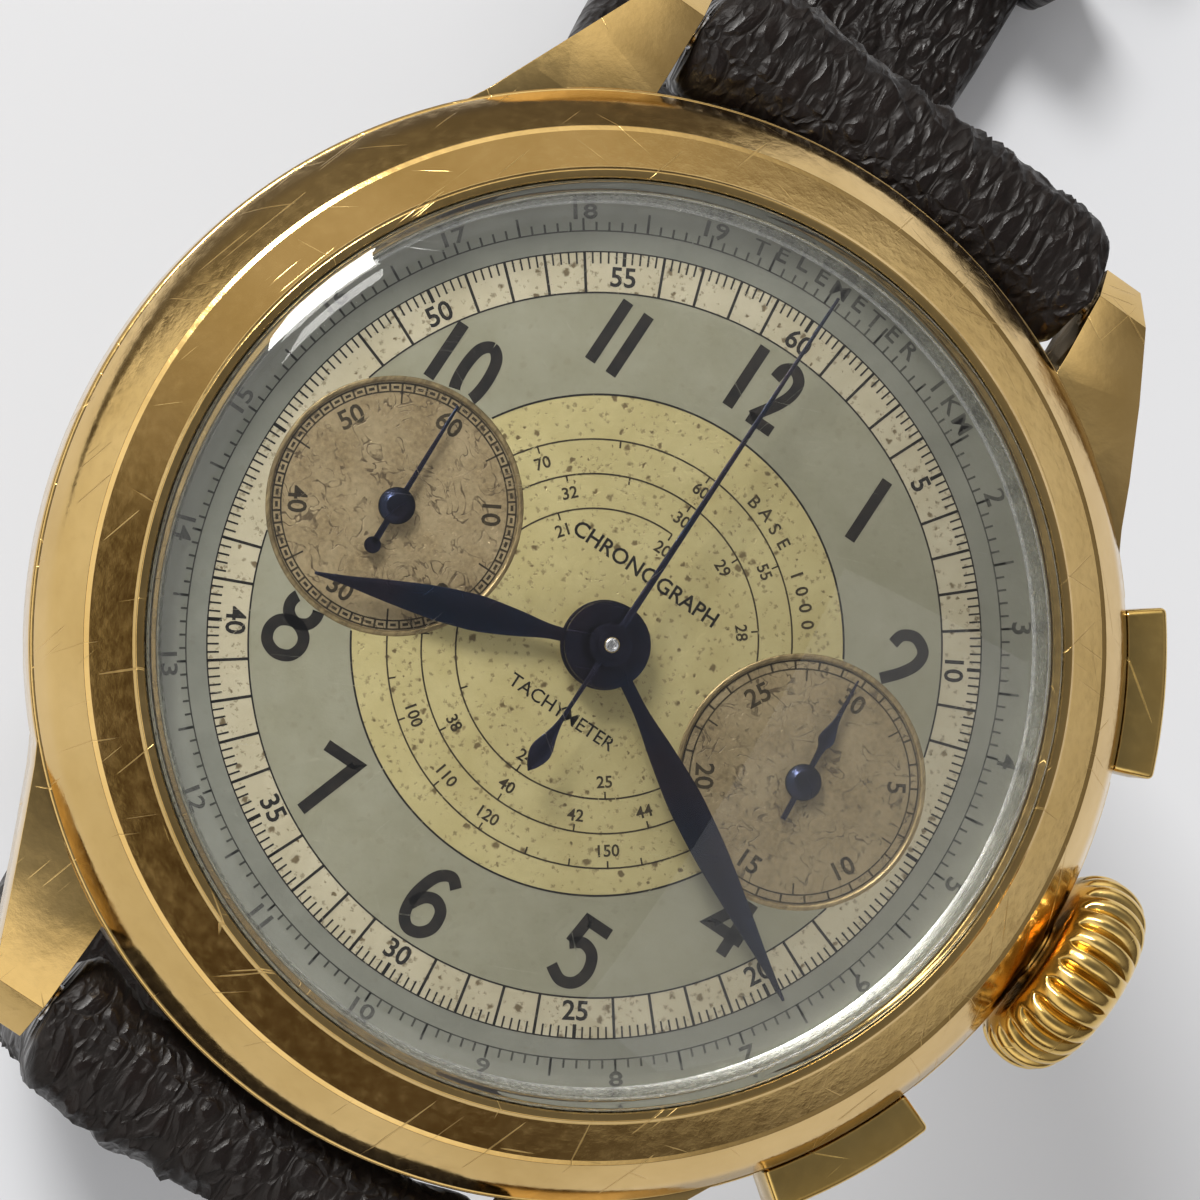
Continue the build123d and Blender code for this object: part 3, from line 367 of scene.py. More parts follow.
def metalFinish(name, light, deep, rough, scale):
    material, tree, shader = newMaterial(name, Metallic=1.0)
    point = objectPoint(tree)
    brushed = addNode(tree, "ShaderNodeMapping", {"Vector": point, "Scale": (1.0, 0.08, 1.0)}).outputs[0]
    hair = useGroup(tree, mottleGroup, Vector=brushed, Scale=scale, Contrast=2.0)["Value"]
    tree.links.new(mixColour(tree, hair, deep, light), shader.inputs["Base Color"])
    tree.links.new(spread(tree, hair, 0.0, 1.0, rough, rough + 0.18), shader.inputs["Roughness"])
    bumpOf(tree, shader, hair, 0.25, 0.00001)
    return material


dialSilver = dialFinish()
printInk = inkFinish("print ink", (0.0015, 0.001, 0.001), (0.012, 0.009, 0.006), 0.45)
fadedInk = inkFinish("faded ink", (0.022, 0.022, 0.019), (0.070, 0.070, 0.058), 0.4)
paleInk = inkFinish("scale ink", (0.012, 0.009, 0.005), (0.055, 0.040, 0.018), 0.4)
blued = bluedFinish()
strapLeather = leatherFinish("strap leather", (0.0045, 0.0030, 0.0027), (0.013, 0.0080, 0.0065), 1500.0,
                             0.00013, 0.04)
liningLeather = leatherFinish("strap lining", (0.075, 0.045, 0.030), (0.11, 0.07, 0.045), 3200.0, 0.00003, 0.3)
steel = metalFinish("steel", (0.66, 0.66, 0.67), (0.48, 0.48, 0.50), 0.18, 9000.0)
silverEdge = metalFinish("silvered edge", (0.86, 0.86, 0.84), (0.70, 0.70, 0.68), 0.16, 5000.0)
agedGilt = metalFinish("aged gilt", (0.40, 0.31, 0.16), (0.17, 0.12, 0.06), 0.30, 6000.0)
brass = metalFinish("gilt brass", (0.84, 0.66, 0.34), (0.68, 0.50, 0.22), 0.22, 7000.0)
plate = metalFinish("grained plate", (0.76, 0.72, 0.66), (0.58, 0.54, 0.47), 0.28, 4000.0)
print("finishes made")


# ---- shape helpers (millimetres until a piece is finished) ----------------------------
def rounded(corners, steps=5, closed=True):
    result = []  # corners are (x, y, radius)
    for index, (x, y, radius) in enumerate(corners):
        inner = closed or 0 < index < len(corners) - 1
        if radius <= 0 or not inner:
            result.append((x, y))
            continue
        here = Vector((x, y))
        before = Vector(corners[index - 1][:2]) - here
        after = Vector(corners[(index + 1) % len(corners)][:2]) - here
        half = before.angle(after) / 2
        reach = min(radius / tan(half), 0.48 * before.length, 0.48 * after.length)
        first, last = here + before.normalized() * reach, here + after.normalized() * reach
        for step in range(steps + 1):
            t = step / steps
            point = (1 - t) ** 2 * first + 2 * t * (1 - t) * here + t ** 2 * last
            result.append((point.x, point.y))
    return result


def steps(first, last, count):
    return [(first[0] + (last[0] - first[0]) * i / count, first[1] + (last[1] - first[1]) * i / count)
            for i in range(count)]


def loopFaces(shape, rings, closed=False):
    pairs = list(zip(rings, rings[1:])) + ([(rings[-1], rings[0])] if closed else [])
    for first, second in pairs:
        count = max(len(first), len(second))
        for i in range(count):
            j = (i + 1) % count
            corners = []
            for ring, k in ((first, i), (first, j), (second, j), (second, i)):
                vert = ring[k % len(ring)]
                if vert not in corners:
                    corners.append(vert)
            if len(corners) > 2:
                shape.faces.new(corners)


def lathe(shape, profile, segments=192, at=(0, 0), closed=True, place=None):
    rings = []  # profile holds (radius, height)
    for radius, height in profile:
        if radius < 1e-6:
            points = [Vector((at[0], at[1], height))]
        else:
            points = [Vector((at[0] + radius * cos(2 * pi * i / segments),
                              at[1] + radius * sin(2 * pi * i / segments), height))
                      for i in range(segments)]
        rings.append([shape.verts.new(place @ p if place else p) for p in points])
    if closed and len(rings[0]) == 1 and len(rings[-1]) == 1:
        closed = False
    loopFaces(shape, rings, closed)


def prism(shape, outline, low, high, place=None):
    rings = []
    for height in (low, high):
        rings.append([shape.verts.new((place @ Vector((x, y, height))) if place else (x, y, height))
                      for x, y in outline])
    loopFaces(shape, rings)
    shape.faces.new(rings[0])
    shape.faces.new(rings[1])


def toMesh(name, shape):
    bmesh.ops.recalc_face_normals(shape, faces=shape.faces)
    mesh = bpy.data.meshes.new(name)
    shape.to_mesh(mesh)
    shape.free()
    return mesh


def toObject(name, shape):
    made = bpy.data.objects.new(name, toMesh(name, shape))
    bpy.context.collection.objects.link(made)
    return made


def settle(thing):
    graph = bpy.context.evaluated_depsgraph_get()
    mesh = bpy.data.meshes.new_from_object(thing.evaluated_get(graph), depsgraph=graph)
    thing.modifiers.clear()
    thing.data = mesh
    return thing


def bevel(thing, width, segments=2, angle=30):
    made = thing.modifiers.new("soft edges", "BEVEL")
    made.width, made.segments, made.limit_method = width, segments, "ANGLE"
    made.angle_limit = radians(angle)
    made.harden_normals = False
    return settle(thing)


def combine(thing, other, operation="DIFFERENCE"):
    made = thing.modifiers.new("join", "BOOLEAN")
    made.object, made.operation, made.solver = other, operation, "EXACT"
    settle(thing)
    bpy.data.objects.remove(other)
    return thing


def alongX(turned=0.0, height=0.0, start=(0.0, 0.0)):
    # takes a lathe's axis to the +X direction, turned about the vertical
    return (Matrix.Translation((start[0], start[1], height)) @ Matrix.Rotation(turned, 4, "Z")
            @ Matrix.Rotation(pi / 2, 4, "Y"))


def finishPiece(thing, body, finishes, nodes=(), sharp=32):
    mesh = thing.data
    mesh.transform(Matrix.Scale(mm, 4))
    mesh.materials.clear()
    for finish in finishes:
        mesh.materials.append(finish)
    mesh.validate()
    mesh.shade_smooth()
    mesh.set_sharp_from_angle(angle=radians(sharp))
    mesh.name = thing.name
    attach(thing, body)
    if nodes:
        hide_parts(*nodes)
    return thing


# ---- case ---------------------------------------------------------------------------
caseSetup = {
    "radius": 20.15, "low": 0.9, "top": 5.3, "neck": 17.4, "neckTop": 7.1,
    "barY": 21.3, "barZ": 2.4, "barRadius": 0.75, "pinRadius": 0.40, "lugGap": 18.0,
    "strapRoom": 2.75, "stemZ": 3.9, "tubeRadius": 1.3, "pusherAngle": 29.0, "pusherZ": 3.7,
    "pusherTube": 1.1,
}
case = caseSetup
ring = bmesh.new()
lathe(ring, rounded([
    (16.15, 0.9, 0.1), (19.0, 0.9, 0.5), (20.15, 2.0, 1.2), (20.15, 5.3, 0.2), (17.4, 5.3, 0),
    (17.4, 7.1, 0.1), (16.10, 7.1, 0.1), (16.10, 6.6, 0), (14.85, 6.6, 0), (14.85, 2.1, 0),
    (16.15, 2.1, 0)]), 256)
midCase = toObject("midCase", ring)

lugSetup = {
    "side": [(12.0, 1.4), (12.0, 5.24), (16.2, 5.24), (18.9, 4.8), (21.6, 3.9), (22.9, 2.4),
             (22.7, 0.8), (21.1, 0.3), (17.4, 1.3)],
    "above": [(9.0, 12.0, 0), (15.6, 12.0, 0), (14.2, 14.6, 2.0), (12.7, 18.0, 2.0),
              (11.3, 21.2, 0.4), (10.5, 23.0, 0.2), (9.0, 23.0, 0)],
    "bevel": 0.10,
}
for signX in (-1, 1):
    for signY in (-1, 1):
        sideShape, aboveShape = bmesh.new(), bmesh.new()
        upright = Matrix(((0, 0, 1, 0), (1, 0, 0, 0), (0, 1, 0, 0), (0, 0, 0, 1)))
        prism(sideShape, [(signY * y, z) for y, z in lugSetup["side"]], signX * 8.0, signX * 17.0, upright)
        prism(aboveShape, [(signX * x, signY * y) for x, y in rounded(lugSetup["above"])], -1.0, 6.0)
        lug = combine(toObject("lug", sideShape), toObject("outline", aboveShape), "INTERSECT")
        bevel(lug, lugSetup["bevel"], 3, 24)
        combine(midCase, lug, "UNION")

bores = bmesh.new()
lathe(bores, [(0, 12.0), (case["tubeRadius"], 12.0), (case["tubeRadius"], 24.0), (0, 24.0)], 48,
      place=alongX(0, case["stemZ"]))
for turned in (case["pusherAngle"], -case["pusherAngle"]):
    lathe(bores, [(0, 14.0), (case["pusherTube"], 14.0), (case["pusherTube"], 24.0), (0, 24.0)], 48,
          place=alongX(radians(turned), case["pusherZ"]))
combine(midCase, toObject("bores", bores))
grooves = bmesh.new()
for sign in (-1, 1):
    start = (0, sign * case["barY"])
    half = case["lugGap"] / 2
    lathe(grooves, [(0, -half), (case["strapRoom"], -half), (case["strapRoom"], half), (0, half)], 64,
          place=alongX(0, case["barZ"], start))
combine(midCase, toObject("grooves", grooves))
pinHoles = bmesh.new()
for sign in (-1, 1):
    for direction in (-1, 1):
        lathe(pinHoles, [(0, 8.9 * direction), (0.45, 8.9 * direction), (0.45, 10.1 * direction),
                         (0, 10.1 * direction)], 24, place=alongX(0, case["barZ"], (0, sign * case["barY"])))
combine(midCase, toObject("pinHoles", pinHoles))
pockets = bmesh.new()
for turned in (case["pusherAngle"], -case["pusherAngle"]):
    prism(pockets, [(19.15, -3.4), (21.0, -3.4), (21.0, 3.4), (19.15, 3.4)], 2.15, 5.25,
          Matrix.Rotation(radians(turned), 4, "Z"))
combine(midCase, toObject("pockets", pockets))
finishPiece(midCase, "case", [caseGold], ["mid_case"])

bezelSetup = {
    "profile": [(17.4, 5.32, 0), (19.88, 5.32, 0.1), (20.00, 5.60, 0.15), (19.55, 6.7, 3.0),
                (18.45, 8.28, 0.07), (18.27, 8.36, 0.06), (16.86, 9.58, 0.3), (16.76, 9.74, 0.08),
                (16.46, 9.74, 0.06), (16.46, 7.12, 0), (17.4, 7.12, 0)],
}
shape = bmesh.new()
lathe(shape, rounded(bezelSetup["profile"], 6), 288)
bezel = finishPiece(toObject("bezel", shape), "case", [caseGold], ["bezel"], 28)

backSetup = {
    "profile": [(0, 0, 0), (12.6, 0, 0), (12.75, 0.06, 0), (12.9, 0, 0), (17.6, 0, 0.2), (18.3, 0.5, 0.3),
                (18.3, 0.88, 0.05), (16.1, 0.88, 0), (16.1, 1.98, 0.05), (15.5, 1.98, 0.05),
                (15.5, 0.9, 0), (0, 0.9, 0)],
}
shape = bmesh.new()
lathe(shape, rounded(backSetup["profile"], 4, closed=False), 192)
finishPiece(toObject("caseBack", shape), "case", [caseGold], ["case_back"])
print("case made")

crystalSetup = {"radius": 16.43, "apex": 12.3, "innerApex": 11.4, "edge": (16.12, 10.12),
                "innerEdge": (15.74, 9.36), "low": 7.1, "rings": 22}


def dome(edge, apex, steps):
    rise = apex - edge[1]
    ball = (edge[0] ** 2 + rise ** 2) / (2 * rise)
    return [(edge[0] * i / steps, apex - ball + sqrt(ball ** 2 - (edge[0] * i / steps) ** 2))
            for i in range(steps + 1)]


over = dome(crystalSetup["edge"], crystalSetup["apex"], crystalSetup["rings"])
under = dome(crystalSetup["innerEdge"], crystalSetup["innerApex"], crystalSetup["rings"])
shoulder = rounded([(*over[-1], 0), (16.33, 10.02, 0.2), (16.43, 9.60, 0.25), (16.43, 7.12, 0),
                    (15.92, 7.12, 0), (15.92, 9.15, 0.2), (*under[-1], 0)], 5, closed=False)
shape = bmesh.new()
lathe(shape, over[:-1] + shoulder + under[-2::-1], 256, closed=False)
crystal = finishPiece(toObject("crystal", shape), "case", [acrylic, silverEdge], ["crystal"], 50)
for face in crystal.data.polygons:
    centre = face.center / mm
    if hypot(centre.x, centre.y) > crystalSetup["radius"] - 0.02 and centre.z < 9.55:
        face.material_index = 1
print("crystal made")


# ---- dial ---------------------------------------------------------------------------
def buildTickTree():
    tree = bpy.data.node_groups.new("dial ticks", "GeometryNodeTree")
    for label, kind, value in (("Count", "NodeSocketInt", 60), ("Inner Radius", floatKind, 12.5),
                               ("Tick Length", floatKind, 1.0), ("Tick Width", floatKind, 0.08),
                               ("Thickness", floatKind, 0.02), ("Skip Every", "NodeSocketInt", 0),
                               ("Turn", floatKind, 0.0), ("Centre", vectorKind, (0, 0, 0)),
                               ("Ink", "NodeSocketMaterial", None)):
        socket = tree.interface.new_socket(label, in_out="INPUT", socket_type=kind)
        if value is not None:
            socket.default_value = value
    tree.interface.new_socket("Geometry", in_out="OUTPUT", socket_type="NodeSocketGeometry")
    given = tree.nodes.new("NodeGroupInput").outputs
    half = addNode(tree, "ShaderNodeMath", {0: given["Tick Length"], 1: 0.5}, operation="MULTIPLY").outputs[0]
    middle = addNode(tree, "ShaderNodeMath", {0: given["Inner Radius"], 1: half}, operation="ADD").outputs[0]
    circle = addNode(tree, "GeometryNodeMeshCircle", {"Vertices": given["Count"], "Radius": middle}).outputs[0]
    size = addNode(tree, "ShaderNodeCombineXYZ", {0: given["Tick Length"], 1: given["Tick Width"],
                                                  2: given["Thickness"]}).outputs[0]
    tick = addNode(tree, "GeometryNodeMeshCube", {"Size": size}).outputs[0]
    place = addNode(tree, "GeometryNodeInputPosition").outputs[0]
    facing = addNode(tree, "FunctionNodeAlignRotationToVector", {"Vector": place}, axis="X").outputs[0]
    index = addNode(tree, "GeometryNodeInputIndex").outputs[0]
    every = addNode(tree, "ShaderNodeMath", {0: given["Skip Every"], 1: 1.0}, operation="MAXIMUM").outputs[0]
    rest = addNode(tree, "ShaderNodeMath", {0: index, 1: every}, operation="MODULO").outputs[0]
    kept = addNode(tree, "ShaderNodeMath", {0: rest, 1: 0.5}, operation="GREATER_THAN").outputs[0]
    always = addNode(tree, "ShaderNodeMath", {0: given["Skip Every"], 1: 0.5}, operation="LESS_THAN").outputs[0]
    wanted = addNode(tree, "ShaderNodeMath", {0: kept, 1: always}, operation="MAXIMUM").outputs[0]
    spread_ = addNode(tree, "GeometryNodeInstanceOnPoints",
                      {"Points": circle, "Selection": wanted, "Instance": tick, "Rotation": facing}).outputs[0]
    real = addNode(tree, "GeometryNodeRealizeInstances", {0: spread_}).outputs[0]
    spin = addNode(tree, "ShaderNodeCombineXYZ", {2: given["Turn"]}).outputs[0]
    moved = addNode(tree, "GeometryNodeTransform", {"Geometry": real, "Translation": given["Centre"],
                                                    "Rotation": spin}).outputs[0]
    inked = addNode(tree, "GeometryNodeSetMaterial", {"Geometry": moved, "Material": given["Ink"]}).outputs[0]
    finished = tree.nodes.new("NodeGroupOutput")
    tree.links.new(inked, finished.inputs[0])
    return tree


tickTree = buildTickTree()


def tickRing(count, inner, length, width, skip=0, turned=90.0, at=(0, 0), height=None):
    height = dialSetup["top"] if height is None else height
    holder = bpy.data.objects.new("ticks", bpy.data.meshes.new("ticks"))
    bpy.context.collection.objects.link(holder)
    rule = holder.modifiers.new("ticks", "NODES")
    rule.node_group = tickTree
    values = {"Count": count, "Inner Radius": inner, "Tick Length": length, "Tick Width": width,
              "Thickness": 2 * dialSetup["print"], "Skip Every": skip, "Turn": radians(turned),
              "Centre": (at[0], at[1], height), "Ink": printInk}
    for item in tickTree.interface.items_tree:
        if item.in_out == "INPUT":
            value = values[item.name]
            rule[item.identifier] = tuple(map(float, value)) if isinstance(value, tuple) else value
    settle(holder)
    mesh = holder.data
    bpy.data.objects.remove(holder)
    return mesh


def band(shape, points, width, low, closed=False):
    # a printed line: a thin strip along points, with square ends
    count = len(points)
    rows = []
    for i, point in enumerate(points):
        here = Vector(point)
        before = Vector(points[i - 1]) if closed or i else None
        after = Vector(points[(i + 1) % count]) if closed or i < count - 1 else None
        first = (here - before).normalized() if before is not None else (after - here).normalized()
        last = (after - here).normalized() if after is not None else first
        bisector = (first + last).normalized()
        across = Vector((-bisector.y, bisector.x))
        reach = width / 2 / max(0.5, across.dot(Vector((-first.y, first.x))))
        edges = [here + across * reach, here - across * reach]
        high = low + dialSetup["print"]
        rows.append([shape.verts.new((*edges[0], low)), shape.verts.new((*edges[0], high)),
                     shape.verts.new((*edges[1], high)), shape.verts.new((*edges[1], low))])
    loopFaces(shape, rows, closed)
    if not closed:
        shape.faces.new(rows[0])
        shape.faces.new(rows[-1])


def circlePoints(radius, at=(0, 0), count=180, start=0.0, end=360.0):
    whole = end - start >= 360
    steps = count if whole else count + 1
    return [(at[0] + radius * sin(radians(start + (end - start) * i / count)),
             at[1] + radius * cos(radians(start + (end - start) * i / count))) for i in range(steps)]


def offRegister(point):
    return hypot(abs(point[0]) - dialSetup["registerAt"], point[1]) - dialSetup["registerRadius"]


def dialLine(shape, points, width, closed=False):
    # a printed line of the main dial, which stops where a register begins
    line = points + points[:1] if closed else points
    dense = []
    for first, last in zip(line, line[1:]):
        dense += steps(first, last, max(1, ceil(hypot(last[0] - first[0], last[1] - first[1]) / 0.08)))
    dense.append(line[-1])
    if closed and all(offRegister(point) > 0.05 for point in dense):
        band(shape, points, width, dialSetup["top"], closed=True)
        return
    run = []
    for point in dense + [None]:
        if point and offRegister(point) > 0.05:
            run.append(point)
            continue
        if len(run) > 1:
            band(shape, run, width, dialSetup["top"])
        run = []


def addTicks(shape, mesh):
    shape.from_mesh(mesh)
    inside = [v for v in shape.verts if offRegister(v.co) < 0.12]
    bmesh.ops.delete(shape, geom=inside, context="VERTS")
    bmesh.ops.holes_fill(shape, edges=[e for e in shape.edges if e.is_boundary])


letterCache = {}


def lettering(shape, text, size, at, turned, height):
    # generic scale figures, as thin raised print; turned is clockwise from upright, in degrees
    if height == dialSetup["top"] and offRegister(at) < 0.30:
        return
    if text not in letterCache:
        curve = bpy.data.curves.new("figures", "FONT")
        curve.body, curve.size, curve.align_x, curve.align_y = text, 1.0, "CENTER", "CENTER"
        curve.extrude, curve.resolution_u, curve.offset = 0.5, 3, 0.018 if text.isdigit() else 0.005 if "M" in text else 0.014
        holder = bpy.data.objects.new("figures", curve)
        bpy.context.collection.objects.link(holder)
        graph = bpy.context.evaluated_depsgraph_get()
        letterCache[text] = bpy.data.meshes.new_from_object(holder.evaluated_get(graph), depsgraph=graph)
        bpy.data.objects.remove(holder)
    mesh = letterCache[text].copy()
    centreY = sum(v.co.y for v in mesh.vertices) / max(1, len(mesh.vertices))
    mesh.transform(Matrix.Translation((0, -centreY, 0.5)))
    mesh.transform(Matrix.Diagonal((size, size, dialSetup["print"], 1)))
    mesh.transform(Matrix.Translation((*at, height)) @ Matrix.Rotation(-radians(turned), 4, "Z"))
    shape.from_mesh(mesh)
    bpy.data.meshes.remove(mesh)


def polar(radius, angle, at=(0, 0)):
    return at[0] + radius * sin(radians(angle)), at[1] + radius * cos(radians(angle))


def curved(points, steps=8, closed=False):
    # a smooth line through its points
    result, count = [], len(points)
    spans = count if closed else count - 1
    for i in range(spans):
        p = [Vector(points[(i + k) % count] if closed else points[min(max(i + k, 0), count - 1)])
             for k in (-1, 0, 1, 2)]
        for step in range(steps):
            t = step / steps
            point = 0.5 * ((2 * p[1]) + (p[2] - p[0]) * t + (2 * p[0] - 5 * p[1] + 4 * p[2] - p[3]) * t ** 2
                           + (3 * p[1] - p[0] - 3 * p[2] + p[3]) * t ** 3)
            result.append((point.x, point.y))
    if not closed:
        result.append(tuple(points[-1]))
    return result


# strokes of the hour figures, in a box one unit wide and high: (points, smooth, closed)
figureStrokes = {
    "0": [([(0.5, 1.0), (0.88, 0.86), (1.0, 0.5), (0.88, 0.14), (0.5, 0.0), (0.12, 0.14), (0.0, 0.5),
            (0.12, 0.86)], True, True)],
    "1": [([(0.5, 1.06), (0.5, -0.06)], False, False)],
    "2": [([(0.04, 0.74), (0.14, 0.93), (0.5, 1.02), (0.88, 0.90), (0.92, 0.68), (0.70, 0.44),
            (0.34, 0.20), (0.06, 0.02)], True, False), ([(-0.04, 0.0), (1.04, 0.0)], False, False)],
    "4": [([(0.74, -0.06), (0.74, 1.0), (0.02, 0.28), (1.06, 0.28)], False, False)],
    "5": [([(0.94, 1.0), (0.22, 1.0), (0.14, 0.56)], False, False),
          ([(0.12, 0.54), (0.45, 0.66), (0.82, 0.58), (0.98, 0.32), (0.84, 0.07), (0.46, -0.02),
            (0.04, 0.10)], True, False)],
    "6": [([(0.90, 0.90), (0.62, 1.02), (0.26, 0.88), (0.04, 0.50), (0.08, 0.16), (0.34, -0.01),
            (0.70, 0.02), (0.94, 0.20), (0.90, 0.46), (0.62, 0.58), (0.30, 0.52), (0.07, 0.32)],
           True, False)],
    "7": [([(-0.02, 1.0), (0.98, 1.0), (0.36, -0.06)], False, False)],
    "8": [([(0.5, 1.02), (0.80, 0.94), (0.90, 0.78), (0.80, 0.62), (0.5, 0.54), (0.20, 0.62),
            (0.10, 0.78), (0.20, 0.94)], True, True),
          ([(0.5, 0.54), (0.88, 0.44), (1.0, 0.25), (0.86, 0.06), (0.5, -0.02), (0.14, 0.06),
            (0.0, 0.25), (0.12, 0.44)], True, True)],
}
hourSetup = {"radius": 10.92, "height": 2.25, "single": 1.30, "double": 0.95, "stroke": 0.42,
             "barStroke": 0.42, "gap": 0.42}


def hourFigures(shape):
    for hour in (12, 1, 2, 4, 5, 6, 7, 8, 10, 11):
        text = str(hour)
        centreX, centreY = polar(hourSetup["radius"], hour * 30)
        widths = [0.05 if digit == "1" else hourSetup["single" if len(text) == 1 else "double"]
                  for digit in text]
        gap = hourSetup["gap"] + hourSetup["stroke"]
        x = centreX - (sum(widths) + gap * (len(text) - 1)) / 2
        for digit, width in zip(text, widths):
            for points, smooth, closed in figureStrokes[digit]:
                placed = [(x + (px if digit != "1" else 0.5) * width,
                           centreY + (py - 0.5) * hourSetup["height"]) for px, py in points]
                line = curved(placed, 8, closed) if smooth else placed
                stroke = hourSetup["barStroke" if digit == "1" else "stroke"]
                dialLine(shape, line, stroke, closed)
            x += width + gap


dialTop = dialSetup["top"]
mainPrint = bmesh.new()
hourFigures(mainPrint)
for radius, width in ((dialSetup["goldEdge"], 0.07), (dialSetup["trackInner"], 0.06),
                      (dialSetup["trackOuter"], 0.05)):
    dialLine(mainPrint, circlePoints(radius, count=240), width, closed=True)
trackDepth = dialSetup["trackOuter"] - dialSetup["trackInner"]
for mesh in (tickRing(60, dialSetup["trackInner"], trackDepth, 0.10, 5),
             tickRing(300, dialSetup["trackOuter"] - 0.42, 0.42, 0.065),
             tickRing(12, dialSetup["trackOuter"] - 0.50, 0.50, 0.13)):
    addTicks(mainPrint, mesh)
for second in range(5, 65, 5):
    if second in (15, 45):
        continue
    flip = 180 if 15 < second < 45 else 0
    lettering(mainPrint, str(second), 0.98, polar(12.98, second * 6), second * 6 + flip, dialTop)

# the tachymeter runs inwards in three turns
spiralSetup = {"start": 8.42, "pitch": 1.23, "labelDrop": 0.60, "size": 0.60}


def spiralRadius(seconds):
    return spiralSetup["start"] - spiralSetup["pitch"] * seconds / 60


scalePrint = bmesh.new()
dialLine(scalePrint, [polar(spiralRadius(t / 2), t * 3) for t in range(22, 361)], 0.06)
speeds = (300, 250, 200, 180, 160, 150, 140, 130, 120, 110, 100, 95, 90, 85, 80, 75, 70, 65, 60, 55,
          50, 48, 46, 44, 42, 40, 38, 36, 35, 34, 33, 32, 31, 30, 29, 28, 27, 26, 25, 24, 23, 22, 21, 20)
for speed in speeds:
    seconds = 3600 / speed
    radius = spiralRadius(seconds)
    dialLine(scalePrint, [polar(radius, seconds * 6), polar(radius - 0.26, seconds * 6)], 0.06)
for speed in (200, 150, 120, 110, 100, 90, 80, 70, 60, 55, 50, 46, 44, 42, 40, 38, 35, 32, 30, 29, 28, 26,
              25, 24, 22, 21, 20):
    seconds = 3600 / speed
    flip = 180 if 95 < seconds * 6 % 360 < 265 else 0
    lettering(scalePrint, str(speed), spiralSetup["size"],
              polar(spiralRadius(seconds) - spiralSetup["labelDrop"], seconds * 6),
              seconds * 6 + flip, dialTop)
for i, letter in enumerate("BASE 1000"):
    if letter != " ":
        angle = 14 + 4.6 * i
        lettering(scalePrint, letter, 0.66, polar(7.60, angle), angle, dialTop)


def arcWord(shape, word, size, radius, middle, pitch, height):
    for i, letter in enumerate(word):
        if letter != " ":
            angle = middle + (i - (len(word) - 1) / 2) * pitch
            lettering(shape, letter, size, polar(radius, angle), angle, height)


lettering(mainPrint, "CHRONOGRAPH", 0.80, (0.0, 3.05), 0, dialTop)
lettering(mainPrint, "TACHYMETER", 0.70, (0.2, -2.70), 0, dialTop)

mainInk = toObject("dialPrint", mainPrint)
scaleInk = toObject("tachymeterPrint", scalePrint)

farPrint = bmesh.new()
band(farPrint, circlePoints(dialSetup["farLine"], count=240), 0.05, dialTop, closed=True)
for mesh in (tickRing(200, dialSetup["farLine"], 0.32, 0.075), tickRing(40, dialSetup["farLine"], 0.46, 0.08),
             tickRing(20, dialSetup["farLine"], 0.76, 0.09, turned=99)):
    farPrint.from_mesh(mesh)
for n in range(2, 20):
    angle = n * 18
    flip = 180 if 95 < angle < 265 else 0
    lettering(farPrint, str(n), 1.10, polar(15.52, angle), angle + flip, dialTop)
arcWord(farPrint, "TELEMETER 1KM", 0.98, 15.52, 7, 3.05, dialTop)

low = dialSetup["registerTop"]
smallPrint = bmesh.new()
registerSetup = {"outer": 4.34, "inner": 4.04, "labels": 3.46, "size": 0.95}
for sign, blocks, labels in ((-1, 60, ("60", "10", "20", "30", "40", "50")),
                             (1, 30, ("30", "5", "10", "15", "20", "25"))):
    at = (sign * dialSetup["registerAt"], 0)
    for key in ("outer", "inner"):
        band(smallPrint, circlePoints(registerSetup[key], at, 120), 0.055, low, closed=True)
    depth = registerSetup["outer"] - registerSetup["inner"]
    smallPrint.from_mesh(tickRing(blocks, registerSetup["inner"], depth, 0.075, at=at, height=low))
    smallPrint.from_mesh(tickRing(12, registerSetup["inner"] - 0.42, 0.42, 0.06, 2, at=at, height=low))
    if sign == -1:
        smallPrint.from_mesh(tickRing(60, registerSetup["inner"] + 0.10, depth - 0.2, 0.2, turned=93, at=at,
                                      height=low))
    for i, label in enumerate(labels):
        flip = 180 if 90 < i * 60 < 270 else 0
        lettering(smallPrint, label, registerSetup["size"], polar(registerSetup["labels"], i * 60, at),
                  i * 60 + flip, low)
for name, shape, ink in (("dialPrint", mainInk, printInk), ("tachymeterPrint", scaleInk, paleInk),
                         ("telemeterPrint", toObject("telemeterPrint", farPrint), fadedInk),
                         ("registerPrint", toObject("registerPrint", smallPrint), paleInk)):
    finishPiece(shape, "case", [ink], sharp=20)

rims = bmesh.new()
for sign in (-1, 1):
    lathe(rims, rounded([(4.40, 6.90, 0), (4.40, 6.985, 0.02), (4.46, 7.03, 0.03), (4.56, 7.03, 0.03),
                         (4.60, 6.995, 0.02), (4.60, 6.90, 0)], 3), 144,
          at=(sign * dialSetup["registerAt"], 0))
finishPiece(toObject("registerRims", rims), "case", [agedGilt], sharp=40)
print("dial made")


# ---- hands --------------------------------------------------------------------------
handSetup = {"sheet": 0.12, "hourZ": 7.95, "minuteZ": 8.5, "chronoZ": 9.1, "smallZ": 7.3,
             "hourAngle": 250.0, "minuteAngle": 119.5, "smallAngle": -2.0, "counterAngle": -4.5}


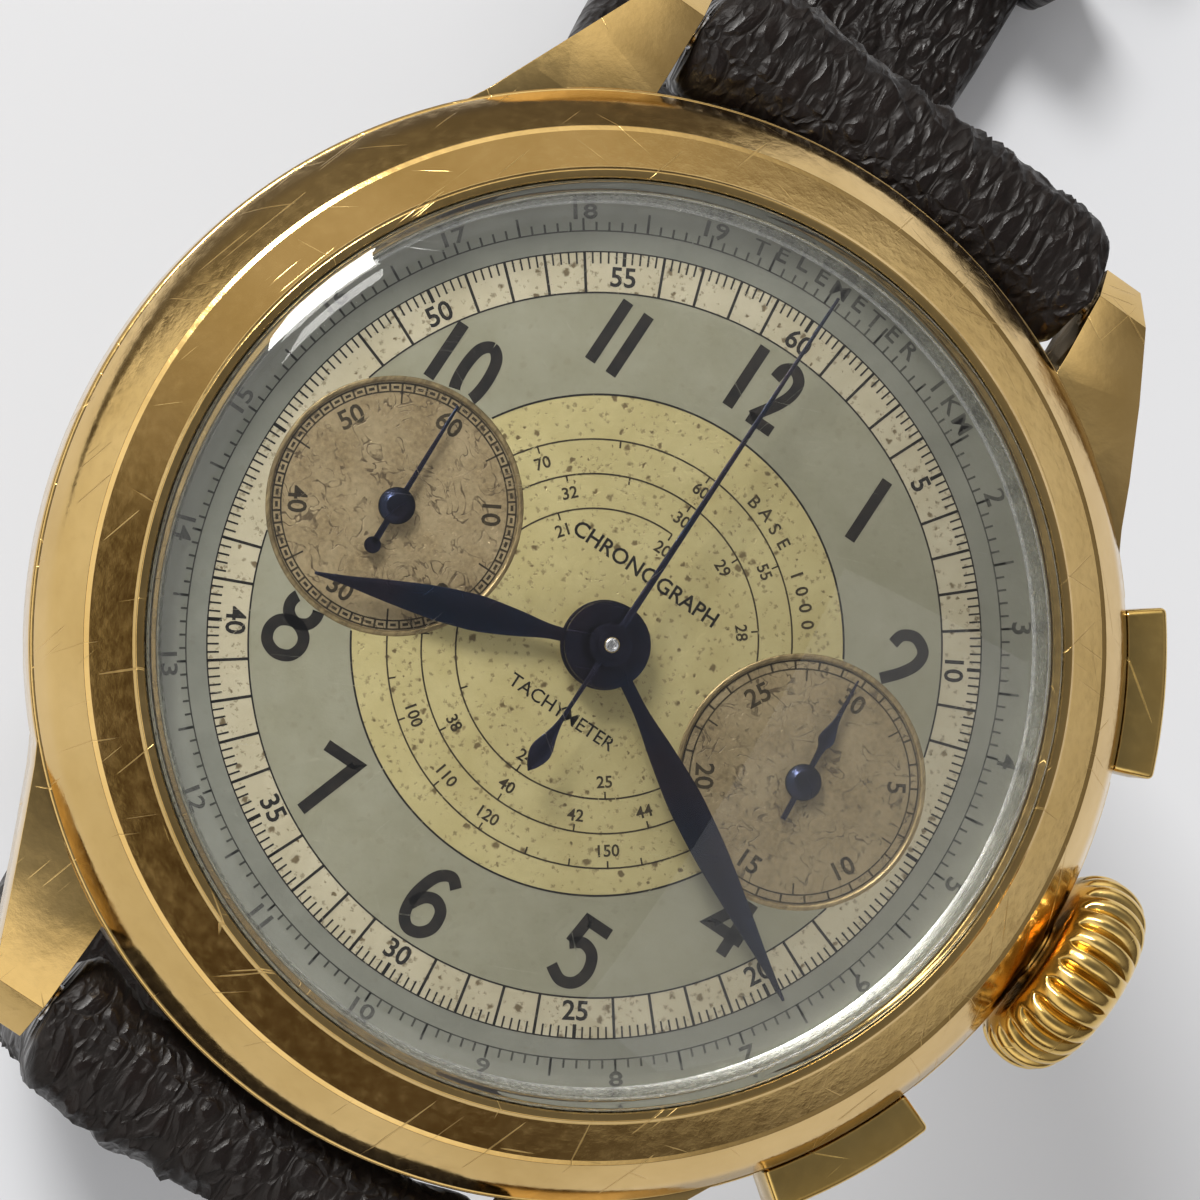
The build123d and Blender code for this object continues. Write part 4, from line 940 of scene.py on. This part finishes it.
def handObject(name, outline, low, angle, discs, at=(0, 0), soft=0.035):
    blade = bmesh.new()
    place = Matrix.Translation((*at, 0)) @ Matrix.Rotation(-radians(angle), 4, "Z")
    prism(blade, outline, low, low + handSetup["sheet"], place)
    hand = bevel(toObject(name, blade), soft, 2, 35)
    extra = bmesh.new()
    extra.from_mesh(hand.data)
    for profile, tail in discs:
        centre = place @ Vector((0, tail, 0))
        lathe(extra, rounded(profile, 3, closed=profile[0][0] > 0), 64, at=(centre.x, centre.y))
    old = hand.data
    hand.data = toMesh(name, extra)
    bpy.data.meshes.remove(old)
    return hand


def leafOutline(length, width, neck, tip):
    halves = [(0.0, neck), (0.12, neck), (0.20, neck * 1.15), (0.30, width * 0.36), (0.42, width * 0.49),
              (0.50, width * 0.50), (0.60, width * 0.46), (0.75, width * 0.31), (0.88, width * 0.15),
              (1.0, tip)]
    right = curved([(x, y * length) for y, x in halves], 6)
    return right + [(-x, y) for x, y in reversed(right)]


def discProfile(outer, bore, low, high, soft=0.05):
    return [(bore, low, 0), (outer, low, soft), (outer, high, soft), (bore, high, soft / 2)]


low, sheet = handSetup["hourZ"], handSetup["sheet"]
hourHand = handObject("hourHand", leafOutline(10.6, 1.28, 0.24, 0.05), low, handSetup["hourAngle"],
                      [(discProfile(1.60, 0.97, low - 0.02, low + sheet + 0.02), 0)])
finishPiece(hourHand, "hours", [blued], ["hour_hand"], 24)
low = handSetup["minuteZ"]
minuteHand = handObject("minuteHand", leafOutline(14.1, 1.28, 0.24, 0.05), low, handSetup["minuteAngle"],
                        [(discProfile(1.55, 0.62, low - 0.02, low + sheet + 0.03), 0)])
finishPiece(minuteHand, "minutes", [blued], ["minute_hand"], 24)
low = handSetup["chronoZ"]
tail = curved([(0.075, -2.6), (0.09, -3.2), (0.20, -3.75), (0.36, -4.25), (0.38, -4.6), (0.22, -5.0), (0.0, -5.3)], 5)
outline = [(0.055, 14.75), (0.13, 0.5), (0.09, -1.0), *tail, *[(-x, y) for x, y in reversed(tail[:-1])],
           (-0.09, -1.0), (-0.13, 0.5), (-0.055, 14.75)]
chronoHand = handObject("chronoSecondsHand", outline, low, 0.0, [
    (discProfile(0.78, 0.28, low - 0.02, low + sheet + 0.06, 0.06), 0),
    ([(0.28, low + sheet, 0), (0.52, low + sheet, 0.02), (0.50, low + 0.34, 0.06), (0.28, low + 0.34, 0.03)], 0)],
    soft=0.02)
finishPiece(chronoHand, "chrono_seconds", [blued], ["chrono_seconds_hand"], 30)
low = handSetup["smallZ"]
smallOutline = [(0.05, 4.15), (0.075, 2.6), (0.10, 0.5), (0.12, -1.55), (-0.12, -1.55), (-0.10, 0.5),
                (-0.075, 2.6), (-0.05, 4.15)]
hub = [(0.0, low + 0.02, 0), (0.66, low + 0.02, 0.05), (0.66, low + 0.20, 0.10), (0.40, low + 0.36, 0.12),
       (0.0, low + 0.38, 0)]
smallHand = handObject("smallSecondsHand", smallOutline, low, handSetup["smallAngle"],
                       [(hub, 0), (discProfile(0.30, 0.0, low, low + sheet, 0.03), -1.62)],
                       at=(-dialSetup["registerAt"], 0), soft=0.015)
finishPiece(smallHand, "small_seconds", [blued], ["small_seconds_hand"], 30)
lance = curved([(0.03, 4.15), (0.07, 3.2), (0.11, 2.5), (0.30, 1.75), (0.14, 1.35), (0.10, 0.6), (0.10, -0.2),
                (0.10, -1.5)], 5)
counterHand = handObject("minuteCounterHand", lance + [(-x, y) for x, y in reversed(lance)], low,
                         handSetup["counterAngle"], [(hub, 0)], at=(dialSetup["registerAt"], 0), soft=0.015)
finishPiece(counterHand, "minute_counter", [blued], ["minute_counter_hand"], 30)

pins = bmesh.new()
lathe(pins, rounded([(0.0, 9.2, 0), (0.25, 9.2, 0), (0.25, 9.50, 0.05), (0.14, 9.52, 0.02), (0.10, 9.45, 0),
                     (0.0, 9.45, 0)], 3, closed=False), 48)
finishPiece(toObject("chronoArborTip", pins), "chrono_seconds", [steel], sharp=40)
print("hands made")


# ---- crown and pushers ---------------------------------------------------------------
crownSetup = {"start": 20.25, "length": 3.2, "radius": 3.95, "flutes": 26, "depth": 0.42, "stemZ": 3.9}


def buildFluteTree():
    tree = bpy.data.node_groups.new("crown flutes", "GeometryNodeTree")
    for label, kind, value in (("Body", "NodeSocketGeometry", None), ("Flutes", floatKind, 26.0),
                               ("Depth", floatKind, 0.3), ("Start", floatKind, 0.35),
                               ("End", floatKind, 2.75), ("Finish", "NodeSocketMaterial", None)):
        socket = tree.interface.new_socket(label, in_out="INPUT", socket_type=kind)
        if value is not None:
            socket.default_value = value
    tree.interface.new_socket("Geometry", in_out="OUTPUT", socket_type="NodeSocketGeometry")
    given = tree.nodes.new("NodeGroupInput").outputs

    def number(operation, first, second=0.0):
        return addNode(tree, "ShaderNodeMath", {0: first, 1: second}, operation=operation).outputs[0]

    place = addNode(tree, "GeometryNodeInputPosition").outputs[0]
    axes = addNode(tree, "ShaderNodeSeparateXYZ", {0: place}).outputs
    angle = number("ARCTAN2", axes[1], axes[0])
    wave = number("ABSOLUTE", number("SINE", number("MULTIPLY", angle, number("MULTIPLY", given["Flutes"], 0.5))))
    valley = number("POWER", number("SUBTRACT", 1.0, wave), 1.6)
    rise = addNode(tree, "ShaderNodeMapRange", {"Value": axes[2], "From Min": given["Start"],
                                                "From Max": number("ADD", given["Start"], 0.5)},
                   interpolation_type="SMOOTHSTEP").outputs[0]
    fall = addNode(tree, "ShaderNodeMapRange", {"Value": axes[2], "From Max": given["End"],
                                                "From Min": number("SUBTRACT", given["End"], 0.7),
                                                "To Min": 1.0, "To Max": 0.0},
                   interpolation_type="SMOOTHSTEP").outputs[0]
    flatPlace = addNode(tree, "ShaderNodeCombineXYZ", {0: axes[0], 1: axes[1]}).outputs[0]
    radius = addNode(tree, "ShaderNodeVectorMath", {0: flatPlace}, operation="LENGTH").outputs["Value"]
    outerOnly = addNode(tree, "ShaderNodeMapRange", {"Value": radius, "From Min": 1.9, "From Max": 2.9},
                        interpolation_type="SMOOTHSTEP").outputs[0]
    amount = number("MULTIPLY", number("MULTIPLY", valley, number("MULTIPLY", rise, fall)),
                    number("MULTIPLY", given["Depth"], outerOnly))
    inwards = addNode(tree, "ShaderNodeVectorMath", {0: flatPlace}, operation="NORMALIZE").outputs[0]
    push = addNode(tree, "ShaderNodeVectorMath", {0: inwards, "Scale": number("MULTIPLY", amount, -1.0)},
                   operation="SCALE").outputs[0]
    cut = addNode(tree, "GeometryNodeSetPosition", {"Geometry": given["Body"], "Offset": push}).outputs[0]
    real = addNode(tree, "GeometryNodeRealizeInstances", {0: cut}).outputs[0]
    dressed = addNode(tree, "GeometryNodeSetMaterial", {"Geometry": real, "Material": given["Finish"]}).outputs[0]
    finished = tree.nodes.new("NodeGroupOutput")
    tree.links.new(dressed, finished.inputs[0])
    return tree


body = bmesh.new()
barrelLine = curved([(2.95, 0.0), (3.45, 0.28), (3.80, 0.82), (3.92, 1.42), (3.84, 2.02), (3.54, 2.58),
                     (2.95, 2.98), (2.2, 3.16)], 7)
profile = ([(1.42, 0.0)] + steps((1.5, 0.0), (2.75, 0.0), 4) + barrelLine
           + [(1.2, 3.2), (0.0, 3.2), (0.0, 1.42), (1.42, 1.42)])
lathe(body, profile, crownSetup["flutes"] * 14)
crown = toObject("crown", body)
fluteTree = buildFluteTree()
flute = crown.modifiers.new("flutes", "NODES")
flute.node_group = fluteTree
for item in fluteTree.interface.items_tree:
    if item.in_out == "INPUT" and item.name != "Body":
        flute[item.identifier] = {"Flutes": float(crownSetup["flutes"]), "Depth": crownSetup["depth"],
                                  "Start": 0.05, "End": 3.15, "Finish": crownGold}[item.name]
settle(crown)
crown.data.transform(alongX(0, crownSetup["stemZ"], (crownSetup["start"], 0)))
finishPiece(crown, "crown_and_stem", [crownGold], ["crown"], 40)

pusherSetup = {"skirt": 20.08, "inner": 20.75, "outer": 21.75, "width": 6.4, "height": 2.8, "z": 3.7, "stem": 0.6,
               "stemEnd": 14.95}
for name, turned in (("upper", case["pusherAngle"]), ("lower", -case["pusherAngle"])):
    half = degrees(asin(pusherSetup["width"] / 2 / pusherSetup["outer"]))
    outline = [(pusherSetup["outer"] * cos(radians(a)), pusherSetup["outer"] * sin(radians(a)))
               for a in [half * (i / 12 - 1) for i in range(25)]]
    outline += [(pusherSetup["skirt"] * cos(radians(a)), pusherSetup["skirt"] * sin(radians(a)))
                for a in [half * (1 - i / 12) for i in range(25)]]
    shape = bmesh.new()
    place = Matrix.Rotation(radians(turned), 4, "Z")
    prism(shape, outline, pusherSetup["z"] - pusherSetup["height"] / 2,
          pusherSetup["z"] + pusherSetup["height"] / 2, place)
    cap = bevel(toObject(name + "Pusher", shape), 0.22, 4, 40)
    shape = bmesh.new()
    lathe(shape, [(0, 19.0), (1.15, 19.0), (1.15, pusherSetup["inner"]), (0, pusherSetup["inner"])], 40,
          place=alongX(radians(turned), pusherSetup["z"]))
    combine(cap, toObject("springRoom", shape))
    shape = bmesh.new()
    shape.from_mesh(cap.data)
    lathe(shape, [(0, pusherSetup["stemEnd"]), (pusherSetup["stem"], pusherSetup["stemEnd"]),
                  (pusherSetup["stem"], pusherSetup["inner"] + 0.1), (0, pusherSetup["inner"] + 0.1)], 40,
          place=alongX(radians(turned), pusherSetup["z"]))
    cap.data = toMesh(name + "Pusher", shape)
    finishPiece(cap, name + "_pusher", [crownGold], [name + "_pusher"], 30)
print("crown and pushers made")


# ---- strap --------------------------------------------------------------------------
strapSetup = {"width": 17.6, "endWidth": 16.0, "half": 1.5, "head": 1.8, "floor": -50.0, "bend": 14.0,
              "across": 96, "under": 40, "square": 3.0, "relief": 0.34}


class StrapPath:
    def __init__(self, start, corner, end):
        self.start, corner, end = Vector(start), Vector(corner), Vector(end)
        self.first = (corner - self.start).normalized()
        self.last = (end - corner).normalized()
        angle = self.first.angle(self.last)
        reach = strapSetup["bend"] * tan(angle / 2)
        self.drop = (corner - self.start).length - reach
        self.arc = strapSetup["bend"] * angle
        self.flat = (end - corner).length - reach
        self.length = self.drop + self.arc + self.flat
        self.sense = 1 if self.first.x * self.last.y - self.first.y * self.last.x > 0 else -1

    def at(self, s):
        if s <= self.drop:
            return self.start + self.first * s, self.first
        bent = min(s - self.drop, self.arc)
        turned = Matrix.Rotation(self.sense * bent / strapSetup["bend"], 2)
        direction = turned @ self.first
        normal = Vector((-self.first.y, self.first.x)) * self.sense
        centre = self.start + self.first * self.drop + normal * strapSetup["bend"]
        point = centre - turned @ normal * strapSetup["bend"]
        return point + direction * max(0.0, s - self.drop - self.arc), direction


def grainHeight(x, v, seed):
    flow = Vector((x * 0.46 + seed, v * 0.40 + 0.20 * x, seed * 0.7))
    bend = noise.noise_vector(flow * 0.7) * 1.2
    ridge = max(0.0, 1 - abs(noise.noise(flow + bend)) * 5.0)
    crossing = max(0.0, 1 - abs(noise.noise((flow + bend * 0.8) * 1.7 + Vector((7.0, 3.0, 0.0)))) * 4.5)
    small = max(0.0, 1 - abs(noise.noise((flow + bend * 0.5) * 3.4)) * 3.0)
    swell = noise.noise(flow * 0.5)
    return 0.62 * ridge ** 1.2 + 0.45 * crossing ** 1.2 + 0.10 * small + 0.8 * swell


def strapStations(length, tail):
    head, stations = strapSetup["head"], []
    for turned in (0.6, 1.5, 3, 5, 7.5, 10.5, 14, 18, 22, 26, 31, 36, 41, 46, 51, 56, 61, 66, 71, 76, 82):
        stations.append(-head * cos(radians(turned)) ** (2 / strapSetup["square"]))
    s = 0.0
    while s < length + tail:
        stations.append(s)
        close = length + tail - s
        s += 0.03 if close < 0.12 else 0.075 if close < 0.6 else 0.15 if s < 7 else 0.24
    return stations + [length + tail]


def strapHalf(name, path, grainSide, seed, tipLength=0.0, puff=1.25):
    head, power = strapSetup["head"], strapSetup["square"]
    endRound = strapSetup["half"] if not tipLength else 0.0
    stations = strapStations(path.length, endRound * 0.985 if endRound else strapSetup["half"])
    last = stations[-1]
    shape = bmesh.new()
    uv = shape.loops.layers.uv.new("strapFlow")
    rows, marks = [], {}
    before, travelled = None, 0.0
    for s in stations:
        point, direction = path.at(s)
        normal = Vector((-direction.y, direction.x)) * grainSide
        taper = min(1.0, max(0.0, (s - path.drop - path.arc) / max(1.0, path.flat)))
        width = strapSetup["width"] + (strapSetup["endWidth"] - strapSetup["width"]) * taper
        if tipLength and s > last - tipLength:
            t = (s - (last - tipLength)) / tipLength
            width *= max(0.05, (1 - t ** 2.6)) ** 0.5
        over = min(1.0, max(0.0, -s / head))
        lining = (head - (head - strapSetup["half"]) * min(1.0, max(0.0, s) / 4.0)) * (1 - over ** 2.4) ** (1 / 2.4)
        padding = puff * max(0.0, 1 - max(0.0, s) / 30.0)
        grain = (1 - over ** power) ** (1 / power) * \
            (strapSetup["half"] + (head - strapSetup["half"]) * max(0.0, 1 - max(0, s) / 4.0) + padding)
        if endRound and s > path.length:
            shrink = sqrt(max(0.0, 1 - ((s - path.length) / endRound) ** 2))
            lining, grain = lining * shrink, grain * shrink
        elif tipLength and s > last - 1.2:
            shrink = sqrt(max(0.02, 1 - ((s - last + 1.2) / 1.2) ** 2))
            lining, grain = lining * (0.4 + 0.6 * shrink), grain * (0.4 + 0.6 * shrink)
        travelled += hypot(s - before[0], grain - before[1]) if before else 0.0
        before = (s, grain)
        hug = min(1.0, max(0.0, (6.0 - s) / 3.0))
        row = []
        for count, sign, reach in ((strapSetup["across"], 1, grain), (strapSetup["under"], -1, lining)):
            for i in range(count):
                t = 1 - 2 * i / count
                u = sign * (0.65 * t + 0.35 * sin(t * pi / 2))
                rise = max(0.0, 1 - abs(u) ** 20) ** 0.5
                x = u * width / 2
                height = sign * reach * rise
                if sign > 0:
                    fade = min(1.0, rise * 1.3) * min(1.0, reach * 0.55)
                    height += strapSetup["relief"] * fade * (grainHeight(x, travelled, seed) - 0.5)
                else:
                    # the ends fill the corners between the case and the lugs
                    fill = (case["barY"] - sqrt((case["radius"] + 0.2) ** 2 - x ** 2)) / head
                    height *= 1 + hug * max(0.0, fill - 1)
                place = point + normal * height
                vert = shape.verts.new((x, place.x, place.y))
                marks[vert] = (x * mm, travelled * mm)
                row.append(vert)
        rows.append(row)
    loopFaces(shape, rows)
    shape.faces.new(rows[0])
    shape.faces.new(rows[-1])
    across = strapSetup["across"]
    whole = across + strapSetup["under"]
    shape.verts.index_update()
    for face in shape.faces:
        if len(face.verts) == 4:
            face.material_index = 1 if min(v.index % whole for v in face.verts) >= across else 0
        for loop in face.loops:
            loop[uv].uv = marks[loop.vert]
    return toObject(name, shape)


bucklePath = StrapPath((21.3, 2.4), (26.0, -50.0), (58.0, -50.0))
holePath = StrapPath((-21.3, 2.4), (-23.5, -50.0), (26.5, -50.0))
buckleHalf = strapHalf("strapBuckleHalf", bucklePath, 1, 11.3)
slotCutter = bmesh.new()
prism(slotCutter, rounded([(-1.3, 55.5, 1.0), (1.3, 55.5, 1.0), (1.3, 61.5, 0), (-1.3, 61.5, 0)]), -54, -46)
combine(buckleHalf, toObject("slotCutter", slotCutter))
boreCutter = bmesh.new()
lathe(boreCutter, [(0, -10), (0.68, -10), (0.68, 10), (0, 10)], 32, place=alongX(0, -50.0, (0, 58.0)))
combine(buckleHalf, toObject("boreCutter", boreCutter))
holeHalf = strapHalf("strapHoleHalf", holePath, -1, 4.1, tipLength=9.0)
holeCutter = bmesh.new()
for i in range(5):
    lathe(holeCutter, [(0, -54), (0.9, -54), (0.9, -46), (0, -46)], 32, at=(0, 20.5 - 6 * i))
combine(holeHalf, toObject("holeCutter", holeCutter))
for piece, sign in ((buckleHalf, 1), (holeHalf, -1)):
    barCutter = bmesh.new()
    lathe(barCutter, [(0, -10), (0.82, -10), (0.82, 10), (0, 10)], 32,
          place=alongX(0, case["barZ"], (0, sign * case["barY"])))
    combine(piece, toObject("barCutter", barCutter))
finishPiece(buckleHalf, "strap_buckle_half", [strapLeather, liningLeather],
            ["strap_buckle_half"], 70)
finishPiece(holeHalf, "strap_hole_half", [strapLeather, liningLeather],
            ["strap_hole_half"], 70)

keeperSetup = {"wall": 0.9, "width": 3.4, "room": 5.6, "low": -51.6}
for name, y, halfInner, body, node_ in (("fixedKeeper", 52.3, 8.6, "strap_buckle_half", "fixed_keeper"),
                                        ("slidingKeeper", 45.0, 8.9, "sliding_keeper", "sliding_keeper")):
    middle = keeperSetup["low"] + keeperSetup["room"] / 2
    halfHigh = keeperSetup["room"] / 2 + keeperSetup["wall"] / 2
    halfWide = halfInner + keeperSetup["wall"] / 2
    line = rounded([(-halfWide, -halfHigh, 1.0), (halfWide, -halfHigh, 1.0), (halfWide, halfHigh, 1.0),
                    (-halfWide, halfHigh, 1.0)], 7)
    dense = []
    for i, point in enumerate(line):
        nextPoint = line[(i + 1) % len(line)]
        count = max(1, ceil(hypot(nextPoint[0] - point[0], nextPoint[1] - point[1]) / 0.3))
        dense += steps(point, nextPoint, count)
    shape = bmesh.new()
    uv = shape.loops.layers.uv.new("strapFlow")
    rows, marks, travelled = [], {}, 0.0
    section = rounded([(-1.7, -0.45, 0.3), (1.7, -0.45, 0.3), (1.7, 0.45, 0.4), (-1.7, 0.45, 0.4)], 4)
    for i, point in enumerate(dense):
        before, after = Vector(dense[i - 1]), Vector(dense[(i + 1) % len(dense)])
        along = (after - before).normalized()
        outwards = Vector((along.y, -along.x))
        travelled += (Vector(point) - before).length if i else 0.0
        row = []
        for across, height in section:
            swell = 0.05 * noise.noise(Vector((across * 1.4 + y, travelled * 0.9, 2.2))) if height > 0 else 0.0
            spot = Vector(point) + outwards * (height + swell)
            vert = shape.verts.new((spot.x, y + across, middle + spot.y))
            marks[vert] = (across * mm, travelled * mm)
            row.append(vert)
        rows.append(row)
    loopFaces(shape, rows, closed=True)
    for face in shape.faces:
        for loop in face.loops:
            loop[uv].uv = marks[loop.vert]
    finishPiece(toObject(name, shape), body, [strapLeather], [node_], 60)
print("strap made")


# ---- buckle and spring bars -----------------------------------------------------------
buckleSetup = {"inner": 8.35, "outer": 9.75, "height": 1.8, "back": 55.6, "front": 68.0, "arm": 1.4,
               "pinY": 58.0, "pinZ": -50.0, "pin": 0.6, "tongue": 2.0, "reach": 10.2}
b = buckleSetup
centreX = (b["inner"] + b["outer"]) / 2
frameLine = [(-centreX, b["back"] + 0.4)] + rounded(
    [(-centreX, b["back"] + 1, 0), (-centreX, b["front"] - 0.7, 1.3), (centreX, b["front"] - 0.7, 1.3),
     (centreX, b["back"] + 1, 0)], 7, closed=False) + [(centreX, b["back"] + 0.4)]
dense = []
for i in range(len(frameLine) - 1):
    first, last = frameLine[i], frameLine[i + 1]
    dense += steps(first, last, max(1, ceil(hypot(last[0] - first[0], last[1] - first[1]) / 0.5)))
dense.append(frameLine[-1])
shape = bmesh.new()
rows = []
for i, point in enumerate(dense):
    before = Vector(dense[max(0, i - 1)])
    after = Vector(dense[min(len(dense) - 1, i + 1)])
    along = (after - before).normalized()
    across = Vector((along.y, -along.x))
    closeEnd = min(i, len(dense) - 1 - i)
    shrink = (0.55, 0.85, 1.0)[min(2, closeEnd)]
    row = []
    for k in range(24):
        angle = 2 * pi * k / 24
        reachAcross = b["arm"] / 2 * abs(cos(angle)) ** 0.7 * (1 if cos(angle) >= 0 else -1)
        reachUp = b["height"] / 2 * abs(sin(angle)) ** 0.7 * (1 if sin(angle) >= 0 else -1)
        spot = Vector(point) + across * reachAcross * shrink
        row.append(shape.verts.new((spot.x, spot.y, b["pinZ"] + reachUp * shrink)))
    rows.append(row)
loopFaces(shape, rows)
shape.faces.new(rows[0])
shape.faces.new(rows[-1])
finishPiece(toObject("buckleFrame", shape), "buckle", [buckleGold], ["buckle_frame"], 50)

shape = bmesh.new()
lathe(shape, rounded([(0, -b["outer"], 0), (b["pin"], -b["outer"], 0.15), (b["pin"], b["outer"], 0.15),
                      (0, b["outer"], 0)], 3, closed=False), 40,
      place=alongX(0, b["pinZ"], (0, b["pinY"])))
finishPiece(toObject("bucklePin", shape), "buckle", [steel], ["buckle_pin"], 40)

tongueLine = curved([(0.0, 0.98), (1.6, 1.22), (4.0, 1.30), (7.0, 1.30), (9.0, 1.24), (10.15, 1.18)], 6)
shape = bmesh.new()
rows = []
for i, (y, z) in enumerate(tongueLine):
    share = y / b["reach"]
    halfWide = b["tongue"] / 2 * (1 - 0.28 * max(0.0, share))
    halfThick = 0.34 * (1 - 0.25 * max(0.0, share))
    if i in (0, len(tongueLine) - 1):
        halfWide, halfThick = halfWide * 0.7, halfThick * 0.6
    row = []
    for k in range(20):
        angle = 2 * pi * k / 20
        row.append(shape.verts.new((
            halfWide * abs(cos(angle)) ** 0.6 * (1 if cos(angle) >= 0 else -1), b["pinY"] + y,
            b["pinZ"] + z + halfThick * abs(sin(angle)) ** 0.7 * (1 if sin(angle) >= 0 else -1))))
    rows.append(row)
loopFaces(shape, rows)
shape.faces.new(rows[0])
shape.faces.new(rows[-1])
lathe(shape, rounded([(0.66, -1.0, 0.05), (1.18, -1.0, 0.15), (1.18, 1.0, 0.15), (0.66, 1.0, 0.05)], 4), 40,
      place=alongX(0, b["pinZ"], (0, b["pinY"])))
finishPiece(toObject("buckleTongue", shape), "tongue", [buckleGold], ["buckle_tongue"], 45)

shape = bmesh.new()
for sign in (-1, 1):
    half = case["lugGap"] / 2
    lathe(shape, rounded([
        (0, -half - 0.9, 0), (case["pinRadius"], -half - 0.9, 0.1), (case["pinRadius"], -half + 0.15, 0),
        (case["barRadius"], -half + 0.15, 0.08), (case["barRadius"], -half + 0.9, 0.05),
        (0.6, -half + 0.95, 0), (0.6, -half + 1.25, 0), (case["barRadius"], -half + 1.3, 0.05),
        (case["barRadius"], half - 1.3, 0.05), (0.6, half - 1.25, 0), (0.6, half - 0.95, 0),
        (case["barRadius"], half - 0.9, 0.05), (case["barRadius"], half - 0.15, 0.08),
        (case["pinRadius"], half - 0.15, 0), (case["pinRadius"], half + 0.9, 0.1), (0, half + 0.9, 0)],
        2, closed=False), 36, place=alongX(0, case["barZ"], (0, sign * case["barY"])))
finishPiece(toObject("springBars", shape), "case", [steel], ["spring_bars"], 40)
print("buckle made")


# ---- inner pieces keep their shape and get their finish --------------------------------
finishBySlot = {"case_gold": caseGold, "buckle_gold": buckleGold, "dial_silver": dialSilver,
                "blued_steel": blued, "steel": steel, "brass": brass, "plate": plate,
                "strap_leather": strapLeather, "crystal": acrylic}
slotOf = {part["node"]: part["material_slot"] for part in frame["record"]["subparts"]}
for nodeName, nodeObject in frame["nodes"].items():
    finish = finishBySlot[slotOf[nodeName]]
    if nodeObject.data.materials:
        for slotIndex in range(len(nodeObject.data.materials)):
            nodeObject.data.materials[slotIndex] = finish
    else:
        nodeObject.data.materials.append(finish)
print("inner pieces dressed")


# ---- floor, lights and surroundings ----------------------------------------------------
stageSetup = {"floorZ": -52.5, "key": 9.0, "fill": 0.8, "surround": 1.08}
shape = bmesh.new()
prism(shape, [(-1500, -1500), (1500, -1500), (1500, 1500), (-1500, 1500)], stageSetup["floorZ"] - 4,
      stageSetup["floorZ"])
floor = toObject("floor", shape)
floor.data.transform(Matrix.Scale(mm, 4))
floorFinish, tree, shader = newMaterial("pale table", Roughness=0.55)
cloud = useGroup(tree, mottleGroup, Vector=objectPoint(tree), Scale=9.0, Contrast=0.5)["Value"]
tree.links.new(mixColour(tree, cloud, (0.74, 0.76, 0.80), (0.80, 0.82, 0.86)), shader.inputs["Base Color"])
floor.data.materials.append(floorFinish)


def areaLight(name, position, size, power, colour, mirrored=True):
    data = bpy.data.lights.new(name, "AREA")
    data.shape, data.size, data.size_y = "RECTANGLE", size[0], size[1]
    data.energy, data.color = power, colour
    lamp = bpy.data.objects.new(name, data)
    bpy.context.collection.objects.link(lamp)
    lamp.location = position
    lamp.rotation_euler = (-Vector(position)).to_track_quat("-Z", "Y").to_euler()
    lamp.visible_glossy = mirrored


def fromView(rightwards, upwards, height):
    place = viewRight * rightwards + viewUp * upwards
    return (place.x, place.y, height)


areaLight("window", fromView(-0.36, 0.68, 0.80), (0.24, 0.36), stageSetup["key"], (1.0, 0.98, 0.95))
areaLight("fill", fromView(0.50, -0.30, 0.80), (0.7, 0.5), stageSetup["fill"], (0.95, 0.97, 1.0), False)
dark = bmesh.new()  # painted shade: a dark sheet on the table beyond the frame, seen only in reflections, for the bezel's slope to mirror
prism(dark, [(-150, 40), (60, 75), (60, 260), (-150, 260)], stageSetup["floorZ"] + 1, stageSetup["floorZ"] + 2,
      Matrix.Rotation(turn, 4, "Z"))
paintedShadeCard = toObject("paintedShadeCard", dark)
paintedShadeCard.data.transform(Matrix.Scale(mm, 4))
paintedShadeCard.data.materials.append(newMaterial("painted shade card", Base_Color=(0.05, 0.04, 0.03), Roughness=0.6)[0])
paintedShadeCard.visible_camera = paintedShadeCard.visible_shadow = paintedShadeCard.visible_diffuse = False
world = bpy.data.worlds.new("room")
bpy.context.scene.world = world
world.use_nodes = True
tree = world.node_tree
background = tree.nodes["Background"]
direction = addNode(tree, "ShaderNodeTexCoord").outputs["Generated"]
height = addNode(tree, "ShaderNodeSeparateXYZ", {0: direction}).outputs[2]
ramp = addNode(tree, "ShaderNodeValToRGB", {0: height})
stops = ((0.0, (0.10, 0.08, 0.06)), (0.22, (0.07, 0.05, 0.035)), (0.40, (0.55, 0.52, 0.47)),
         (0.60, (1.15, 1.12, 1.08)), (0.78, (1.0, 0.98, 0.95)), (0.88, (0.32, 0.32, 0.32)),
         (1.0, (0.13, 0.13, 0.14)))
while len(ramp.color_ramp.elements) < len(stops):
    ramp.color_ramp.elements.new(0.5)
for element, (position, colour) in zip(ramp.color_ramp.elements, stops):
    element.position, element.color = position, (*colour, 1)
towardsTop = addNode(tree, "ShaderNodeVectorMath", {0: direction, 1: tuple(viewUp)},
                     operation="DOT_PRODUCT").outputs["Value"]
wall = mixColour(tree, spread(tree, towardsTop, 0.15, 0.85), ramp.outputs[0], (0.52, 0.47, 0.40))
wall = mixColour(tree, spread(tree, height, 0.20, 0.45), wall, ramp.outputs[0])
towardsRight = addNode(tree, "ShaderNodeVectorMath", {0: direction, 1: tuple(viewRight - 0.15 * viewUp)},
                       operation="DOT_PRODUCT").outputs["Value"]
wall = mixColour(tree, spread(tree, towardsRight, 0.02, 0.60, 0.0, 0.85), wall, (0.13, 0.12, 0.115))
seen = addNode(tree, "ShaderNodeLightPath").outputs["Is Camera Ray"]
tree.links.new(mixColour(tree, seen, wall, (0.80, 0.82, 0.86)), background.inputs["Color"])
background.inputs["Strength"].default_value = stageSetup["surround"]
bpy.context.scene.view_settings.view_transform = "Standard"
print("stage made")
